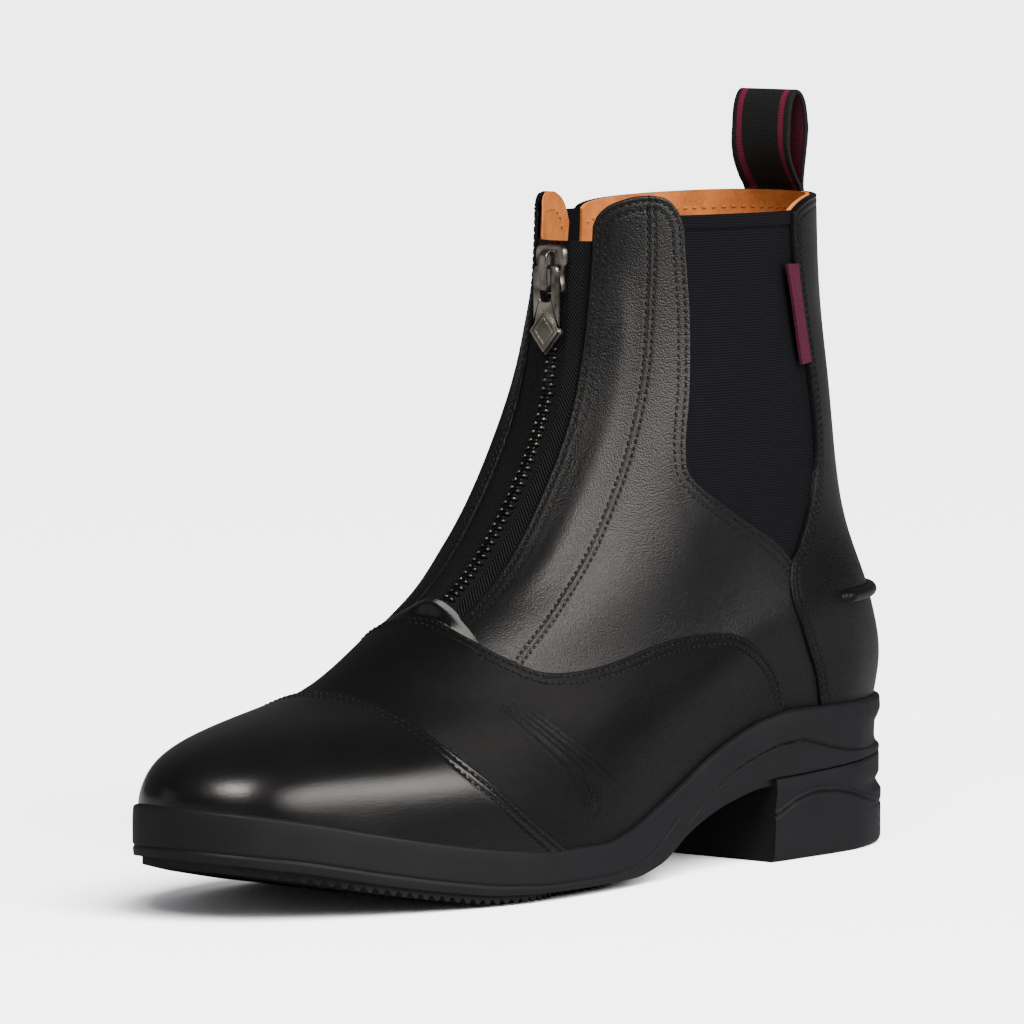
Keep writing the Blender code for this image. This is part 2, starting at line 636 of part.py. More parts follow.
def make_slider(finish):
    """The zip slider: a tapered body with a bridge that holds the pull."""
    front = SLIDER_BACK_Y - SLIDER_THICK
    low = SLIDER_TOP - SLIDER_LONG
    half, neck = SLIDER_HALF, SLIDER_HALF * SLIDER_NECK
    side = ((neck, low), (neck, low + 5.0), (half, low + 8.0), (half, SLIDER_TOP - 1.2), (neck, SLIDER_TOP))
    outline = np.array(side + tuple((-x, z) for x, z in side[::-1])) + (ZIP_X, 0.0)
    depths = ((SLIDER_BACK_Y, SLIDER_ROUND), (SLIDER_BACK_Y - SLIDER_ROUND, 0.0), (front + SLIDER_ROUND, 0.0))
    points, faces = plate(outline, depths + ((front, SLIDER_ROUND),))
    slider = add_object("zip_slider", points, faces, finish)
    bar_low, bar_high = PULL_Z - BRIDGE_FOOT, PULL_Z + BRIDGE_HEAD
    top, bar, root = front - BRIDGE_RISE, BRIDGE_BAR, front + 0.4
    arch = (
        (root, bar_low), (front - BRIDGE_RISE * 0.6, bar_low), (top, bar_low + 1.6), (top, bar_high - 1.0),
        (front - BRIDGE_RISE * 0.7, bar_high), (root, bar_high),
    )
    under = (
        (root, bar_high - bar), (top + bar + 0.4, bar_high - bar), (top + bar, bar_high - bar - 0.4),
        (top + bar, bar_low + 1.8), (front - BRIDGE_RISE * 0.6 + bar * 0.8, bar_low + bar),
        (root, bar_low + bar),
    )
    bridge = prism("slider_bridge", arch + under, "X", ZIP_X - BRIDGE_HALF, ZIP_X + BRIDGE_HALF)
    cut(slider, bridge, "UNION")
    return slider


def make_pull(finish):
    """The puller: a slotted neck on the hinge bar, widening to a diamond."""
    axis_y = SLIDER_BACK_Y - SLIDER_THICK - HINGE_OUT
    arm, slot, slot_end = PULL_ARM_HALF, PULL_SLOT_HALF, -PULL_SLOT_LONG
    tip = -DIAMOND_MIDDLE - DIAMOND_TALL
    side = (
        (arm - 1.2, 0.5), (arm, -0.7), (arm, -PULL_NECK_LONG), (DIAMOND_HALF, 0.3 - DIAMOND_MIDDLE),
        (DIAMOND_HALF, -0.3 - DIAMOND_MIDDLE), (0.6, tip + 0.3), (0.0, tip),
    )
    outline = np.array(side + tuple((-x, z) for x, z in side[-2::-1]))
    half, edge = PULL_THICK / 2, PULL_ROUND
    points, faces = plate(outline, ((half, edge), (half - edge, 0.0), (edge - half, 0.0), (-half, edge)))
    pull = add_object("zip_pull", points, faces, finish)
    wide, tall = DIAMOND_HALF * PLAQUE_SHARE, DIAMOND_TALL * PLAQUE_SHARE
    diamond = np.array(((wide, 0.0), (0.0, tall), (-wide, 0.0), (0.0, -tall))) - (0.0, DIAMOND_MIDDLE)
    plaque = prism("pull_plaque", diamond, "Y", -half - PLAQUE_RISE, 0.0)
    cut(pull, plaque, "UNION")
    slot_side = ((slot, -PULL_BAR_RADIUS), (slot, slot_end + 1.0), (slot * 0.4, slot_end))
    slot_outline = slot_side + tuple((-x, z) for x, z in slot_side[::-1])
    cut(pull, prism("pull_slot_cutter", slot_outline, "Y", -4.0, 4.0), "DIFFERENCE")
    hinge = bpy.data.objects.new("pull_hinge", None)
    bpy.context.scene.collection.objects.link(hinge)
    hinge.location = (ZIP_X * MM, axis_y * MM, PULL_Z * MM)
    for thing in (pull, plaque, bpy.data.objects["pull_slot_cutter"]):
        thing.parent = hinge
    return pull


def make_loop(finish):
    """The webbing loop at the back of the collar, one folded strip that bends with the wall."""
    path = through(LOOP_PATH, 3)
    along = np.gradient(path, axis=0)
    normal = np.column_stack((along[:, 1], -along[:, 0]))
    normal /= np.linalg.norm(normal, axis=1)[:, None]
    bow = LOOP_BOW * np.clip((LOOP_BOW_HIGH - path[:, 1]) / (LOOP_BOW_HIGH - LOOP_BOW_LOW), 0, 1)
    corners = []
    for side, by in ((-1, 1), (0, 1), (1, 1), (1, -1), (0, -1), (-1, -1)):
        edge = path + normal * by * LOOP_THICK / 2
        edge[:, 0] -= bow * abs(side)
        corners.append(np.column_stack((np.full(len(path), LOOP_X + side * LOOP_WIDE / 2), edge)))
    rings = np.stack(corners, axis=1)
    columns = len(corners)
    faces = loop_faces(len(path), columns)
    for first in (0, (len(path) - 1) * columns):
        faces += [[first, first + 1, first + 4, first + 5], [first + 1, first + 2, first + 3, first + 4]]
    return add_object("pull_loop", rings.reshape(-1, 3), faces, finish)


def make_spur_rest(finish):
    """The bar across the back that keeps a spur strap up."""
    low, high = SPUR_Z - SPUR_HALF, SPUR_Z + SPUR_HALF
    outline = (
        (SPUR_FRONT_Y, SPUR_Z - 1.0), (SPUR_FRONT_Y + 2.0, low), (BEHIND, low), (BEHIND, high),
        (SPUR_FRONT_Y + 2.0, high), (SPUR_FRONT_Y, SPUR_Z + 1.0),
    )
    start = GAP + OVERLAY + GAP
    return make_overlay("spur_rest", outline, start + SPUR_RISE, finish, inside=start)


def main():
    clear_scene()
    leather = material("black_leather", (0.010, 0.010, 0.011), 0.38)
    cap_leather = material("polished_leather", (0.010, 0.010, 0.011), 0.28)
    rubber = material("sole_rubber", (0.018, 0.018, 0.020), 0.62)
    elastic = material("elastic", (0.008, 0.008, 0.010), 0.85)
    tape = material("zip_tape", (0.010, 0.010, 0.012), 0.80)
    metal = material("antique_nickel", (0.42, 0.40, 0.37), 0.32, 1.0)
    teeth_metal = material("dark_teeth", (0.10, 0.10, 0.10), 0.40, 1.0)
    webbing = material("webbing", (0.012, 0.011, 0.012), 0.85)
    tab_cloth = material("tab_cloth", (0.11, 0.010, 0.028), 0.75)
    sock = material("sock_leather", (0.50, 0.25, 0.09), 0.60)

    make_midsole(rubber)
    make_outsole(rubber)
    make_heel(rubber)
    make_insole(sock)
    make_upper(leather)
    make_gore("gore_outer", OUTER_GORE, ZIP_X, BESIDE, elastic)
    make_gore("gore_inner", INNER_GORE, -BESIDE, ZIP_X, elastic)

    edge = TEETH_HALF + TAPE_CLEAR
    reach = ZIP_HALF + ZIP_X - OPENING_X
    teeth_top = SLIDER_TOP - SLIDER_LONG - GAP
    make_zip_strip("zip_tape_outer", edge, reach, TAPE_FACES, ZIP_FOOT, TAPE_TOP, tape)
    make_zip_strip("zip_tape_inner", -reach, -edge, TAPE_FACES, ZIP_FOOT, TAPE_TOP, tape)
    make_zip_strip("zip_teeth", -TEETH_HALF, TEETH_HALF, TEETH_FACES, TEETH_FOOT, teeth_top, teeth_metal)
    make_slider(metal)
    make_pull(metal)

    lapped = GAP + OVERLAY
    make_overlay("toe_cap", toe_cap_outline(), lapped + CAP_EXTRA, cap_leather)
    make_overlay("vamp", vamp_outline(), lapped, leather)
    make_overlay("counter", counter_outline(), lapped, leather)
    make_spur_rest(leather)
    make_overlay("side_tab", TAB, GAP + TAB_THICK, tab_cloth, low_x=ZIP_X)
    make_loop(webbing)


main()
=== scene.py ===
"""Looks of a left jodhpur boot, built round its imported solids.

Shapes are worked out in millimetres on the surface of the last and put into meshes in metres.
A place on the last is a pair: a signed step round the foot (0 at the toe, 1 at the heel,
positive on the outer side) and a height (0 at the feather line, 1 above the collar).
"""

import logging
import math
from dataclasses import dataclass, field
from enum import Enum
from functools import partial
from typing import Any, Callable, Optional, Sequence

import bpy
import numpy as np
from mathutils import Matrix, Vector


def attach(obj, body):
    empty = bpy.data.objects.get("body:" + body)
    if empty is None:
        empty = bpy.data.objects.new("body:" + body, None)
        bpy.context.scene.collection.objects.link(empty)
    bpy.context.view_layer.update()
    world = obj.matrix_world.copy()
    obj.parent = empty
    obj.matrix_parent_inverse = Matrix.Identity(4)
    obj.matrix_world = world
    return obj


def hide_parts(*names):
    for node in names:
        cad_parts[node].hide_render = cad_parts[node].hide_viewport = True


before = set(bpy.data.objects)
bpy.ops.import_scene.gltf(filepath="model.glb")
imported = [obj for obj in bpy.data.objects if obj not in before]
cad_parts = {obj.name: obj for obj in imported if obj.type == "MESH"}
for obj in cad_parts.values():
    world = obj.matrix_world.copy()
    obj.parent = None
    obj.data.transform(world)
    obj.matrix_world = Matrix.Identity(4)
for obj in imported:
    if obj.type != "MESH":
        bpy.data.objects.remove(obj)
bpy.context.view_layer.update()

LOG = logging.getLogger("boot")
PIECES: dict[str, bpy.types.Object] = {}
Array = np.ndarray
Material = bpy.types.Material
Tree = bpy.types.NodeTree
Adder = Callable[..., bpy.types.NodeSocket]
Pair = tuple[float, float]
Triple = tuple[float, float, float]
Table = Sequence[Pair]

MM = 0.001
FULL_TURN = (2.0, 0.0)
BATCH = 1_000_000
GRADE_SAMPLES = 4000
GRADE_BLEND = 4.0

# Start, end and step of the fine zones beside a rolled and stitched edge
EDGE_ZONES = ((0.0, 1.0, 0.2), (1.0, 5.6, 0.45))

# Plan of the rand, rows of x and y from the toe tip along the outer side, round the heel and back
OUTLINE = (
    (-3.0, -141.5), (13.0, -136.8), (25.5, -124.5), (36.5, -100.0), (44.0, -70.0),
    (47.0, -42.0), (45.0, -12.0), (40.0, 20.0), (36.6, 55.0), (35.7, 85.0),
    (33.0, 113.0), (21.5, 135.0), (2.0, 141.5), (-17.5, 135.0), (-29.0, 113.0),
    (-31.7, 85.0), (-31.5, 55.0), (-32.5, 20.0), (-37.5, -12.0), (-44.5, -42.0),
    (-47.0, -68.0), (-43.5, -95.0), (-34.5, -119.0), (-19.5, -136.3),
)

# Heights of the bottom's lines, rows of y and z
RAND_TOP = (
    (-142.0, 31.5), (-120.0, 27.6), (-97.0, 22.8), (-78.0, 19.1), (-57.0, 15.9), (-36.0, 13.9),
    (-15.0, 13.8), (0.0, 16.6), (14.0, 21.5), (27.0, 27.0), (40.0, 33.0), (52.0, 37.4),
    (66.0, 41.2), (80.0, 43.0), (97.0, 43.0), (116.0, 42.9), (142.0, 43.3),
)
UNIT_BOTTOM = (
    (-142.0, 17.2), (-120.0, 13.6), (-97.0, 9.0), (-78.0, 5.8), (-57.0, 3.2), (-36.0, 2.5),
    (-15.0, 2.4), (0.0, 2.6), (14.0, 5.0), (27.0, 11.2), (40.0, 16.4), (52.0, 19.6),
    (66.0, 21.8), (142.0, 21.8),
)
TREAD = (
    (-142.0, 15.0), (-120.0, 10.9), (-97.0, 6.2), (-78.0, 2.9), (-57.0, 0.3), (-36.0, 0.0),
    (-15.0, 0.0), (0.0, 0.6), (14.0, 3.0),
)
FRONT_GROOVE = (
    (-142.0, 20.0), (-120.0, 16.6), (-97.0, 12.0), (-78.0, 8.6), (-57.0, 5.8), (-36.0, 4.6),
    (-15.0, 4.6), (0.0, 6.0), (9.0, 8.6), (16.0, 12.4), (22.0, 16.8), (30.0, 22.6),
)
ARCH_GROOVE = (
    (20.0, 9.0), (26.0, 13.5), (37.0, 20.7), (51.0, 27.5), (62.0, 31.0), (74.0, 33.5), (82.0, 34.0),
    (89.0, 32.6), (97.0, 30.7), (107.0, 29.2), (118.0, 28.8), (130.0, 29.4), (142.0, 31.0),
)
HEEL_SEAM = ((60.0, 23.6), (73.0, 23.8), (97.0, 24.6), (122.0, 26.0), (142.0, 27.2))
HEEL_WAVE = (
    (68.0, 12.4), (73.0, 14.1), (81.0, 17.1), (90.0, 18.4), (97.0, 18.1), (107.0, 16.5), (122.0, 13.2),
    (142.0, 11.4),
)

# One row for each ring of the last, from the feather line up to above the collar: front y and z,
# back y and z, half widths outside and inside, shares of the round ends, oval and follow
RINGS = (
    (-139.0, 31.8, 139.6, 43.6, 44.0, 44.0, 0.45, 0.19, 0.00, 1.00),
    (-138.5, 35.0, 141.0, 52.0, 44.0, 43.0, 0.46, 0.19, 0.10, 0.95),
    (-134.8, 40.2, 140.6, 60.0, 43.0, 42.0, 0.46, 0.23, 0.24, 0.85),
    (-124.8, 45.4, 138.4, 68.0, 41.0, 39.2, 0.47, 0.26, 0.48, 0.70),
    (-105.8, 50.0, 135.6, 77.0, 38.5, 36.5, 0.49, 0.28, 0.76, 0.52),
    (-80.6, 55.9, 131.8, 86.5, 36.2, 34.6, 0.51, 0.31, 0.92, 0.34),
    (-55.5, 68.0, 128.0, 97.0, 34.7, 34.2, 0.49, 0.37, 0.93, 0.18),
    (-31.0, 81.8, 124.6, 109.0, 33.8, 34.2, 0.48, 0.43, 0.88, 0.08),
    (-11.5, 100.3, 121.5, 122.0, 33.3, 33.6, 0.48, 0.45, 0.87, 0.00),
    (3.2, 121.8, 118.4, 137.0, 32.8, 32.8, 0.48, 0.47, 0.86, 0.00),
    (10.2, 141.6, 116.1, 152.0, 32.6, 31.3, 0.53, 0.49, 0.93, 0.00),
    (12.6, 166.0, 114.4, 170.0, 32.5, 29.6, 0.60, 0.49, 1.00, 0.00),
    (13.2, 194.0, 113.7, 194.0, 32.4, 28.8, 0.65, 0.50, 1.00, 0.00),
)
CENTRE = ((-142.0, -3.0), (-90.0, -1.6), (-40.0, 0.0), (20.0, 1.4), (70.0, 2.0), (142.0, 2.0))

# Seams and edges in side view, rows of y and z
CAP_SEAM = (
    (-82.0, 72.0), (-78.3, 57.0), (-73.8, 48.4), (-66.6, 39.9), (-54.8, 30.0), (-45.0, 22.3),
    (-33.0, 14.0), (-30.0, 11.5),
)
VAMP_EDGE = (
    (-37.5, 91.0), (-39.8, 79.0), (-42.0, 73.0), (-39.8, 69.0), (-35.0, 65.3), (-26.0, 61.3),
    (-13.0, 61.0), (1.0, 63.0), (17.0, 66.5), (33.0, 68.0), (48.0, 67.0), (59.0, 61.8),
    (69.8, 53.6), (76.0, 42.0), (76.5, 40.5),
)
GUARD_TOP = ((-34.0, 92.0), (-36.4, 78.4), (-38.4, 74.6), (-39.4, 71.2), (-39.6, 68.0))
QUARTER_FOOT = ((-38.0, 60.0), (-10.0, 52.0), (20.0, 46.0), (50.0, 41.5), (72.0, 40.5), (98.0, 41.0))
PANEL_TOP_FRONT = ((17.7, 185.2), (18.8, 187.0), (21.0, 188.9), (25.4, 190.6), (29.8, 191.0))
PANEL_TOP_BACK = ((29.8, 191.0), (34.0, 190.0), (37.2, 186.7), (39.2, 181.7))
PANEL_LINE = (
    (29.8, 191.0), (29.4, 169.6), (26.3, 145.7), (21.1, 128.9), (12.7, 111.5), (0.3, 93.2),
    (-14.4, 78.6), (-31.3, 65.0), (-38.0, 60.0),
)
GORE_FRONT = (
    (39.2, 181.7), (39.7, 159.0), (37.4, 139.0), (33.2, 120.0), (35.4, 111.0), (52.5, 100.6),
    (68.7, 92.6), (76.0, 86.9),
)
UNDER_COUNTER = ((81.0, 81.0), (80.0, 75.0), (84.0, 66.0), (92.0, 55.0), (97.6, 43.0), (98.0, 41.0))
GORE_BACK = (
    (80.5, 184.8), (81.6, 170.0), (86.9, 150.2), (90.7, 136.2), (94.0, 118.0), (91.8, 104.6),
    (81.5, 90.6), (76.0, 85.4),
)
COUNTER_SEAM = ((73.8, 79.0), (74.6, 72.5), (80.7, 63.2), (88.6, 52.9), (93.0, 43.0), (93.5, 41.0))
INNER_TOP_BACK = ((29.8, 191.0), (36.0, 190.4), (42.0, 187.4), (45.5, 181.7))
INNER_GORE_FRONT = (
    (45.5, 181.7), (43.4, 159.0), (39.4, 139.0), (36.4, 124.0), (39.0, 112.0), (46.0, 106.0),
)
INNER_UNDER = ((60.0, 101.0), (72.0, 90.0), (80.0, 75.0), (84.0, 66.0), (92.0, 55.0), (98.0, 41.0))
INNER_BACK_EDGE = (
    (53.0, 185.0), (53.4, 159.0), (53.8, 139.0), (53.6, 124.0), (54.0, 112.0), (58.0, 99.0),
    (66.0, 90.0), (73.5, 82.0), (74.2, 72.5), (80.7, 63.2), (88.6, 52.9), (93.0, 43.0), (93.5, 41.0),
)
BACK_TOP = ((80.5, 184.8), (85.0, 186.8), (91.0, 188.2), (98.0, 188.8), (108.0, 189.0), (113.6, 189.0))
INNER_BACK_TOP = (
    (53.0, 185.0), (56.0, 186.4), (64.0, 187.4), (80.0, 188.2), (98.0, 188.8), (108.0, 189.0),
    (113.6, 189.0),
)
GORE_TOP = 185.2
TAB = ((75.2, 170.3), (82.4, 170.0), (90.2, 141.6), (83.6, 141.2))

# Zip edges of the front panels in front view, rows of x and z
ZIP_X = 2.2
ZIP_EDGE = (
    (12.5, 182.6), (11.9, 162.0), (11.3, 146.0), (10.9, 125.0), (10.9, 108.0), (11.2, 95.0),
    (11.3, 74.0),
)
INNER_ZIP_EDGE = (
    (-9.5, 182.6), (-10.4, 165.0), (-11.4, 146.0), (-11.6, 125.0), (-11.6, 108.0), (-11.3, 95.0),
    (-10.5, 74.0),
)

# How far the side stands out at the very back, rows of z and millimetres
UNIT_REAR = (
    (21.8, -0.6), (28.0, -0.6), (29.6, -1.8), (31.0, -2.1), (34.8, -2.0), (37.2, -1.0), (39.4, -0.3),
    (46.0, -0.3),
)
HEEL_REAR = (
    (0.0, 0.0), (11.0, 0.0), (11.7, -0.35), (12.5, 0.0), (15.1, 0.1), (17.0, -0.9), (18.4, -1.5),
    (19.8, -0.8), (21.0, -0.5), (28.0, -0.5),
)


class Side(Enum):
    """The two sides of the foot, with their sign along X."""

    OUTER = 1.0
    INNER = -1.0


class Body(Enum):
    """The bodies that pieces ride on."""

    BOOT = "boot"
    PULL = "zip_pull"


class Border(Enum):
    """The borders of a panel's grid that can be rolled."""

    START = "first column"
    END = "last column"
    TOP = "first row"


THREE_EDGES = (Border.START, Border.TOP, Border.END)


def smoothstep(x: Array) -> Array:
    """A soft step from 0 to 1 as x goes from 0 to 1."""
    x = np.clip(x, 0.0, 1.0)
    return x * x * (3 - 2 * x)


def bell(distance: Array, width: float) -> Array:
    """A bell curve, 1 on the line and falling off over a width."""
    return np.exp(-((distance / width) ** 2))


def unit(vectors: Array) -> Array:
    """Directions of vectors, each of length 1."""
    return vectors / np.linalg.norm(vectors, axis=-1)[..., None]


def run_along(points: Array, axis: int = 0) -> Array:
    """Lengths along rows or columns of points, from 0 at their start."""
    steps = np.linalg.norm(np.diff(points, axis=axis), axis=-1)
    return np.insert(np.cumsum(steps, axis=axis), 0, 0.0, axis=axis)


def spline(knots: Array, values: Array, x: Array) -> Array:
    """Natural cubic spline through rows of values, with steady curvature from row to row.

    Args:
        knots: places of the rows, rising.
        values: one row of values for each knot.
        x: places to read, of any shape.

    Returns:
        The values at x, in one more dimension.
    """
    gaps = np.diff(knots)
    inner = np.arange(1, len(knots) - 1)
    system = np.eye(len(knots))
    system[inner, inner - 1] = gaps[:-1]
    system[inner, inner] = 2 * (gaps[:-1] + gaps[1:])
    system[inner, inner + 1] = gaps[1:]
    right = np.zeros_like(values)
    right[1:-1] = 6 * np.diff(np.diff(values, axis=0) / gaps[:, None], axis=0)
    bend = np.linalg.solve(system, right)
    i = np.clip(np.searchsorted(knots, x) - 1, 0, len(knots) - 2)
    low = ((knots[i + 1] - x) / gaps[i])[..., None]
    high = 1 - low
    curve = (low**3 - low) * bend[i] + (high**3 - high) * bend[i + 1]
    return low * values[i] + high * values[i + 1] + curve * gaps[i][..., None] ** 2 / 6


def level_curve(table: Table, y: Array) -> Array:
    """Second column of a table at y: a cubic that is level at crests and never overshoots.

    Args:
        table: rows of a place and a value, with rising places.
        y: places to read.

    Returns:
        Values, of the shape of y.
    """
    rows = np.array(table)
    secant = np.diff(rows[:, 1]) / np.diff(rows[:, 0])
    before, after = np.append(secant[:1], secant), np.append(secant, secant[-1:])
    product = before * after
    slope = np.where(product > 0, 2 * product / np.where(product > 0, before + after, 1.0), 0.0)
    y = np.clip(y, rows[0, 0], rows[-1, 0])
    i = np.clip(np.searchsorted(rows[:, 0], y) - 1, 0, len(rows) - 2)
    span = rows[i + 1, 0] - rows[i, 0]
    s = (y - rows[i, 0]) / span
    start = (2 * s**3 - 3 * s**2 + 1) * rows[i, 1] + (s**3 - 2 * s**2 + s) * span * slope[i]
    return start + (3 * s**2 - 2 * s**3) * rows[i + 1, 1] + (s**3 - s**2) * span * slope[i + 1]


def through(points: Sequence[Sequence[float]], steps: int, closed: bool = False) -> Array:
    """A Catmull-Rom curve through points.

    Args:
        points: rows of coordinates.
        steps: samples in each span.
        closed: whether the curve comes back to its start.

    Returns:
        The sampled curve.
    """
    points = np.asarray(points, float)
    if closed:
        ends = np.concatenate((points[-1:], points, points[:2]))
    else:
        ends = np.concatenate((2 * points[:1] - points[1:2], points, 2 * points[-1:] - points[-2:-1]))
    a, b, c, d = ends[:-3, None], ends[1:-2, None], ends[2:-1, None], ends[3:, None]
    s = (np.arange(steps) / steps)[None, :, None]
    curve = b + 0.5 * s * (c - a + s * (2 * a - 5 * b + 4 * c - d + s * (3 * (b - c) + d - a)))
    curve = curve.reshape(-1, points.shape[1])
    return curve if closed else np.concatenate((curve, points[-1:]))


def nearest_on(points: Array, run: Array) -> tuple[Array, Array]:
    """Distance of points from a line through others, and where along it they are nearest.

    Args:
        points: points of any number of dimensions before the last.
        run: points along the line.

    Returns:
        Distances, and shares from 0 at the line's start to 1 at its end.
    """
    flat = points.reshape(-1, 3)
    start, step = run[:-1], np.diff(run, axis=0)
    square = np.maximum(np.sum(step**2, axis=1), 1e-9)
    distance, share = np.empty(len(flat)), np.empty(len(flat))
    for part in np.array_split(np.arange(len(flat)), len(flat) * len(start) // BATCH + 1):
        away = flat[part, None] - start
        on = np.clip(np.einsum("ijk,jk->ij", away, step) / square, 0, 1)
        gap = np.linalg.norm(away - on[..., None] * step, axis=-1)
        best = gap.argmin(axis=1)
        pick = np.arange(len(part))
        distance[part] = gap[pick, best]
        share[part] = (best + on[pick, best]) / len(start)
    return distance.reshape(points.shape[:-1]), share.reshape(points.shape[:-1])


def graded(length: float, coarse: float, zones: Sequence[Triple]) -> Array:
    """Shares from 0 to 1 whose steps are fine inside zones and coarse outside them.

    Args:
        length: length in millimetres that the shares stand for.
        coarse: step in millimetres outside the zones.
        zones: start, end and step of each fine zone in millimetres.

    Returns:
        The shares, rising from 0 to 1.
    """
    x = np.linspace(0, length, GRADE_SAMPLES)
    step = np.full_like(x, coarse)
    for low, high, fine in zones:
        outside = np.maximum(np.maximum(low - x, x - high), 0)
        step = np.minimum(step, fine + (coarse - fine) * smoothstep(outside / GRADE_BLEND))
    count = np.concatenate(([0], np.cumsum(np.diff(x) * 2 / (step[1:] + step[:-1]))))
    return np.interp(np.linspace(0, count[-1], int(count[-1]) + 1), count, x) / length


def edge_zones(length: float, start: bool, end: bool) -> list[Triple]:
    """Fine zones for a rolled and stitched edge at either end of a length."""
    zones = list(EDGE_ZONES) if start else []
    if end:
        zones += [(length - high, length - low, step) for low, high, step in EDGE_ZONES]
    return zones


@dataclass
class Shape:
    """Points in millimetres with faces, and a flat map in millimetres where a pattern needs one."""

    points: Array
    faces: list[Array]
    flat: Optional[Array] = None

    def turned_out(self) -> "Shape":
        """The same shape with its faces pointing outwards, by the sign of its volume."""
        volume = 0.0
        for faces in self.faces:
            corner = self.points[faces]
            for k in range(1, faces.shape[1] - 1):
                cross = np.cross(corner[:, k], corner[:, k + 1])
                volume += float(np.sum(corner[:, 0] * cross))
        if volume < 0:
            return Shape(self.points, [faces[:, ::-1] for faces in self.faces], self.flat)
        return self


def joined(shapes: Sequence[Shape]) -> Shape:
    """One shape out of several that have no flat map."""
    starts = np.cumsum([0] + [len(shape.points) for shape in shapes])
    faces = [f + start for shape, start in zip(shapes, starts) for f in shape.faces]
    return Shape(np.concatenate([shape.points for shape in shapes]), faces)


def grid_faces(rows: int, columns: int, wrap_rows: bool = False, wrap_columns: bool = False) -> Array:
    """Quads of a grid, whose rows or columns may close on themselves."""
    i = np.arange(rows if wrap_rows else rows - 1)[:, None]
    j = np.arange(columns if wrap_columns else columns - 1)[None]
    k, m = (i + 1) % rows, (j + 1) % columns
    i, k = i * columns, k * columns
    return np.stack((i + j, i + m, k + m, k + j), axis=-1).reshape(-1, 4)


def slab(outer: Array, inner: Array, flat: Optional[Array] = None) -> Shape:
    """A closed sheet between two grids, with a wall round their borders."""
    rows, columns = outer.shape[:2]
    count = rows * columns
    top = grid_faces(rows, columns)
    index = np.arange(count).reshape(rows, columns)
    rim = np.concatenate((index[0, :-1], index[:-1, -1], index[-1, :0:-1], index[:0:-1, 0]))
    after = np.roll(rim, -1)
    wall = np.column_stack((after, rim, rim + count, after + count))
    points = np.concatenate((outer.reshape(-1, 3), inner.reshape(-1, 3)))
    mapped = None if flat is None else np.tile(flat.reshape(-1, 2), (2, 1))
    return Shape(points, [top, top[:, ::-1] + count, wall], mapped).turned_out()


def tube(rings: Array, flat: Optional[Array] = None) -> Shape:
    """A skin over rings of points, closed at its ends by fans round their middles.

    Args:
        rings: rings along the tube, points round each ring.
        flat: flat map of the same grid.

    Returns:
        The closed shape.
    """
    count, around = rings.shape[:2]
    middles = np.stack((rings[0].mean(0), rings[-1].mean(0)))
    j = np.arange(around)
    k = (j + 1) % around
    last = (count - 1) * around
    start = np.column_stack((k, j, np.full(around, count * around)))
    end = np.column_stack((last + j, last + k, np.full(around, count * around + 1)))
    faces = [grid_faces(count, around, wrap_columns=True), start, end]
    mapped = None
    if flat is not None:
        mapped = flat.reshape(-1, 2)
        mapped = np.concatenate((mapped, mapped[:1], mapped[-1:]))
    return Shape(np.concatenate((rings.reshape(-1, 3), middles)), faces, mapped).turned_out()


def stacked(loops: Array) -> Shape:
    """A solid through closed loops whose column i faces column n - i, closed by strips across."""
    rows, columns = loops.shape[:2]
    half = columns // 2
    i = np.arange(half)
    strip = np.column_stack((i, i + 1, (columns - i - 1) % columns, (columns - i) % columns))
    ends = np.concatenate((strip[1:-1][:, ::-1], strip[1:-1] + (rows - 1) * columns))
    tips = np.array(((0, 1, columns - 1), (half - 1, half, half + 1)))
    tips = np.concatenate((tips[:, ::-1], tips + (rows - 1) * columns))
    faces = [grid_faces(rows, columns, wrap_columns=True), ends, tips]
    return Shape(loops.reshape(-1, 3), faces).turned_out()


def put(name: str, data: Any) -> bpy.types.Object:
    """A new object in the scene, at the origin, unturned and unscaled."""
    made = bpy.data.objects.new(name, data)
    bpy.context.scene.collection.objects.link(made)
    return made


def point(made: bpy.types.Object, axis: str, towards: Vector) -> None:
    """Turn a lamp or a camera so that one of its axes points along a direction."""
    made.rotation_mode = "QUATERNION"
    made.rotation_quaternion = towards.to_track_quat(axis, "Y")


def add_piece(
    name: str, shape: Shape, finish: Material, body: Body = Body.BOOT,
    stands_for: Sequence[str] = (), sharp: float = 42.0,
) -> None:
    """Put a shape into a mesh object that rides on a body.

    Args:
        name: name of the piece.
        shape: its points and faces.
        finish: its material.
        body: the body that it moves with.
        stands_for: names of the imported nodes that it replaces.
        sharp: edges that turn by more degrees than this are shaded sharp.
    """
    mesh = bpy.data.meshes.new(name)
    corners = np.concatenate([faces.ravel() for faces in shape.faces]).astype(np.int32)
    sizes = np.concatenate([np.full(len(faces), faces.shape[1]) for faces in shape.faces])
    starts = np.concatenate(([0], np.cumsum(sizes)[:-1])).astype(np.int32)
    mesh.vertices.add(len(shape.points))
    mesh.vertices.foreach_set("co", (shape.points * MM).astype(np.float32).ravel())
    mesh.loops.add(len(corners))
    mesh.loops.foreach_set("vertex_index", corners)
    mesh.polygons.add(len(sizes))
    mesh.polygons.foreach_set("loop_start", starts)
    if shape.flat is not None:
        layer = mesh.uv_layers.new(name="flat")
        layer.uv.foreach_set("vector", (shape.flat[corners] * MM).astype(np.float32).ravel())
    mesh.update(calc_edges=True)
    mesh.validate()
    mesh.shade_smooth()
    mesh.set_sharp_from_angle(angle=math.radians(sharp))
    mesh.materials.append(finish)
    piece = put(name, mesh)
    PIECES[name] = piece
    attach(piece, body.value)
    if stands_for:
        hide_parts(*stands_for)
    LOG.info("%s: %d points, %d faces", name, len(shape.points), len(sizes))


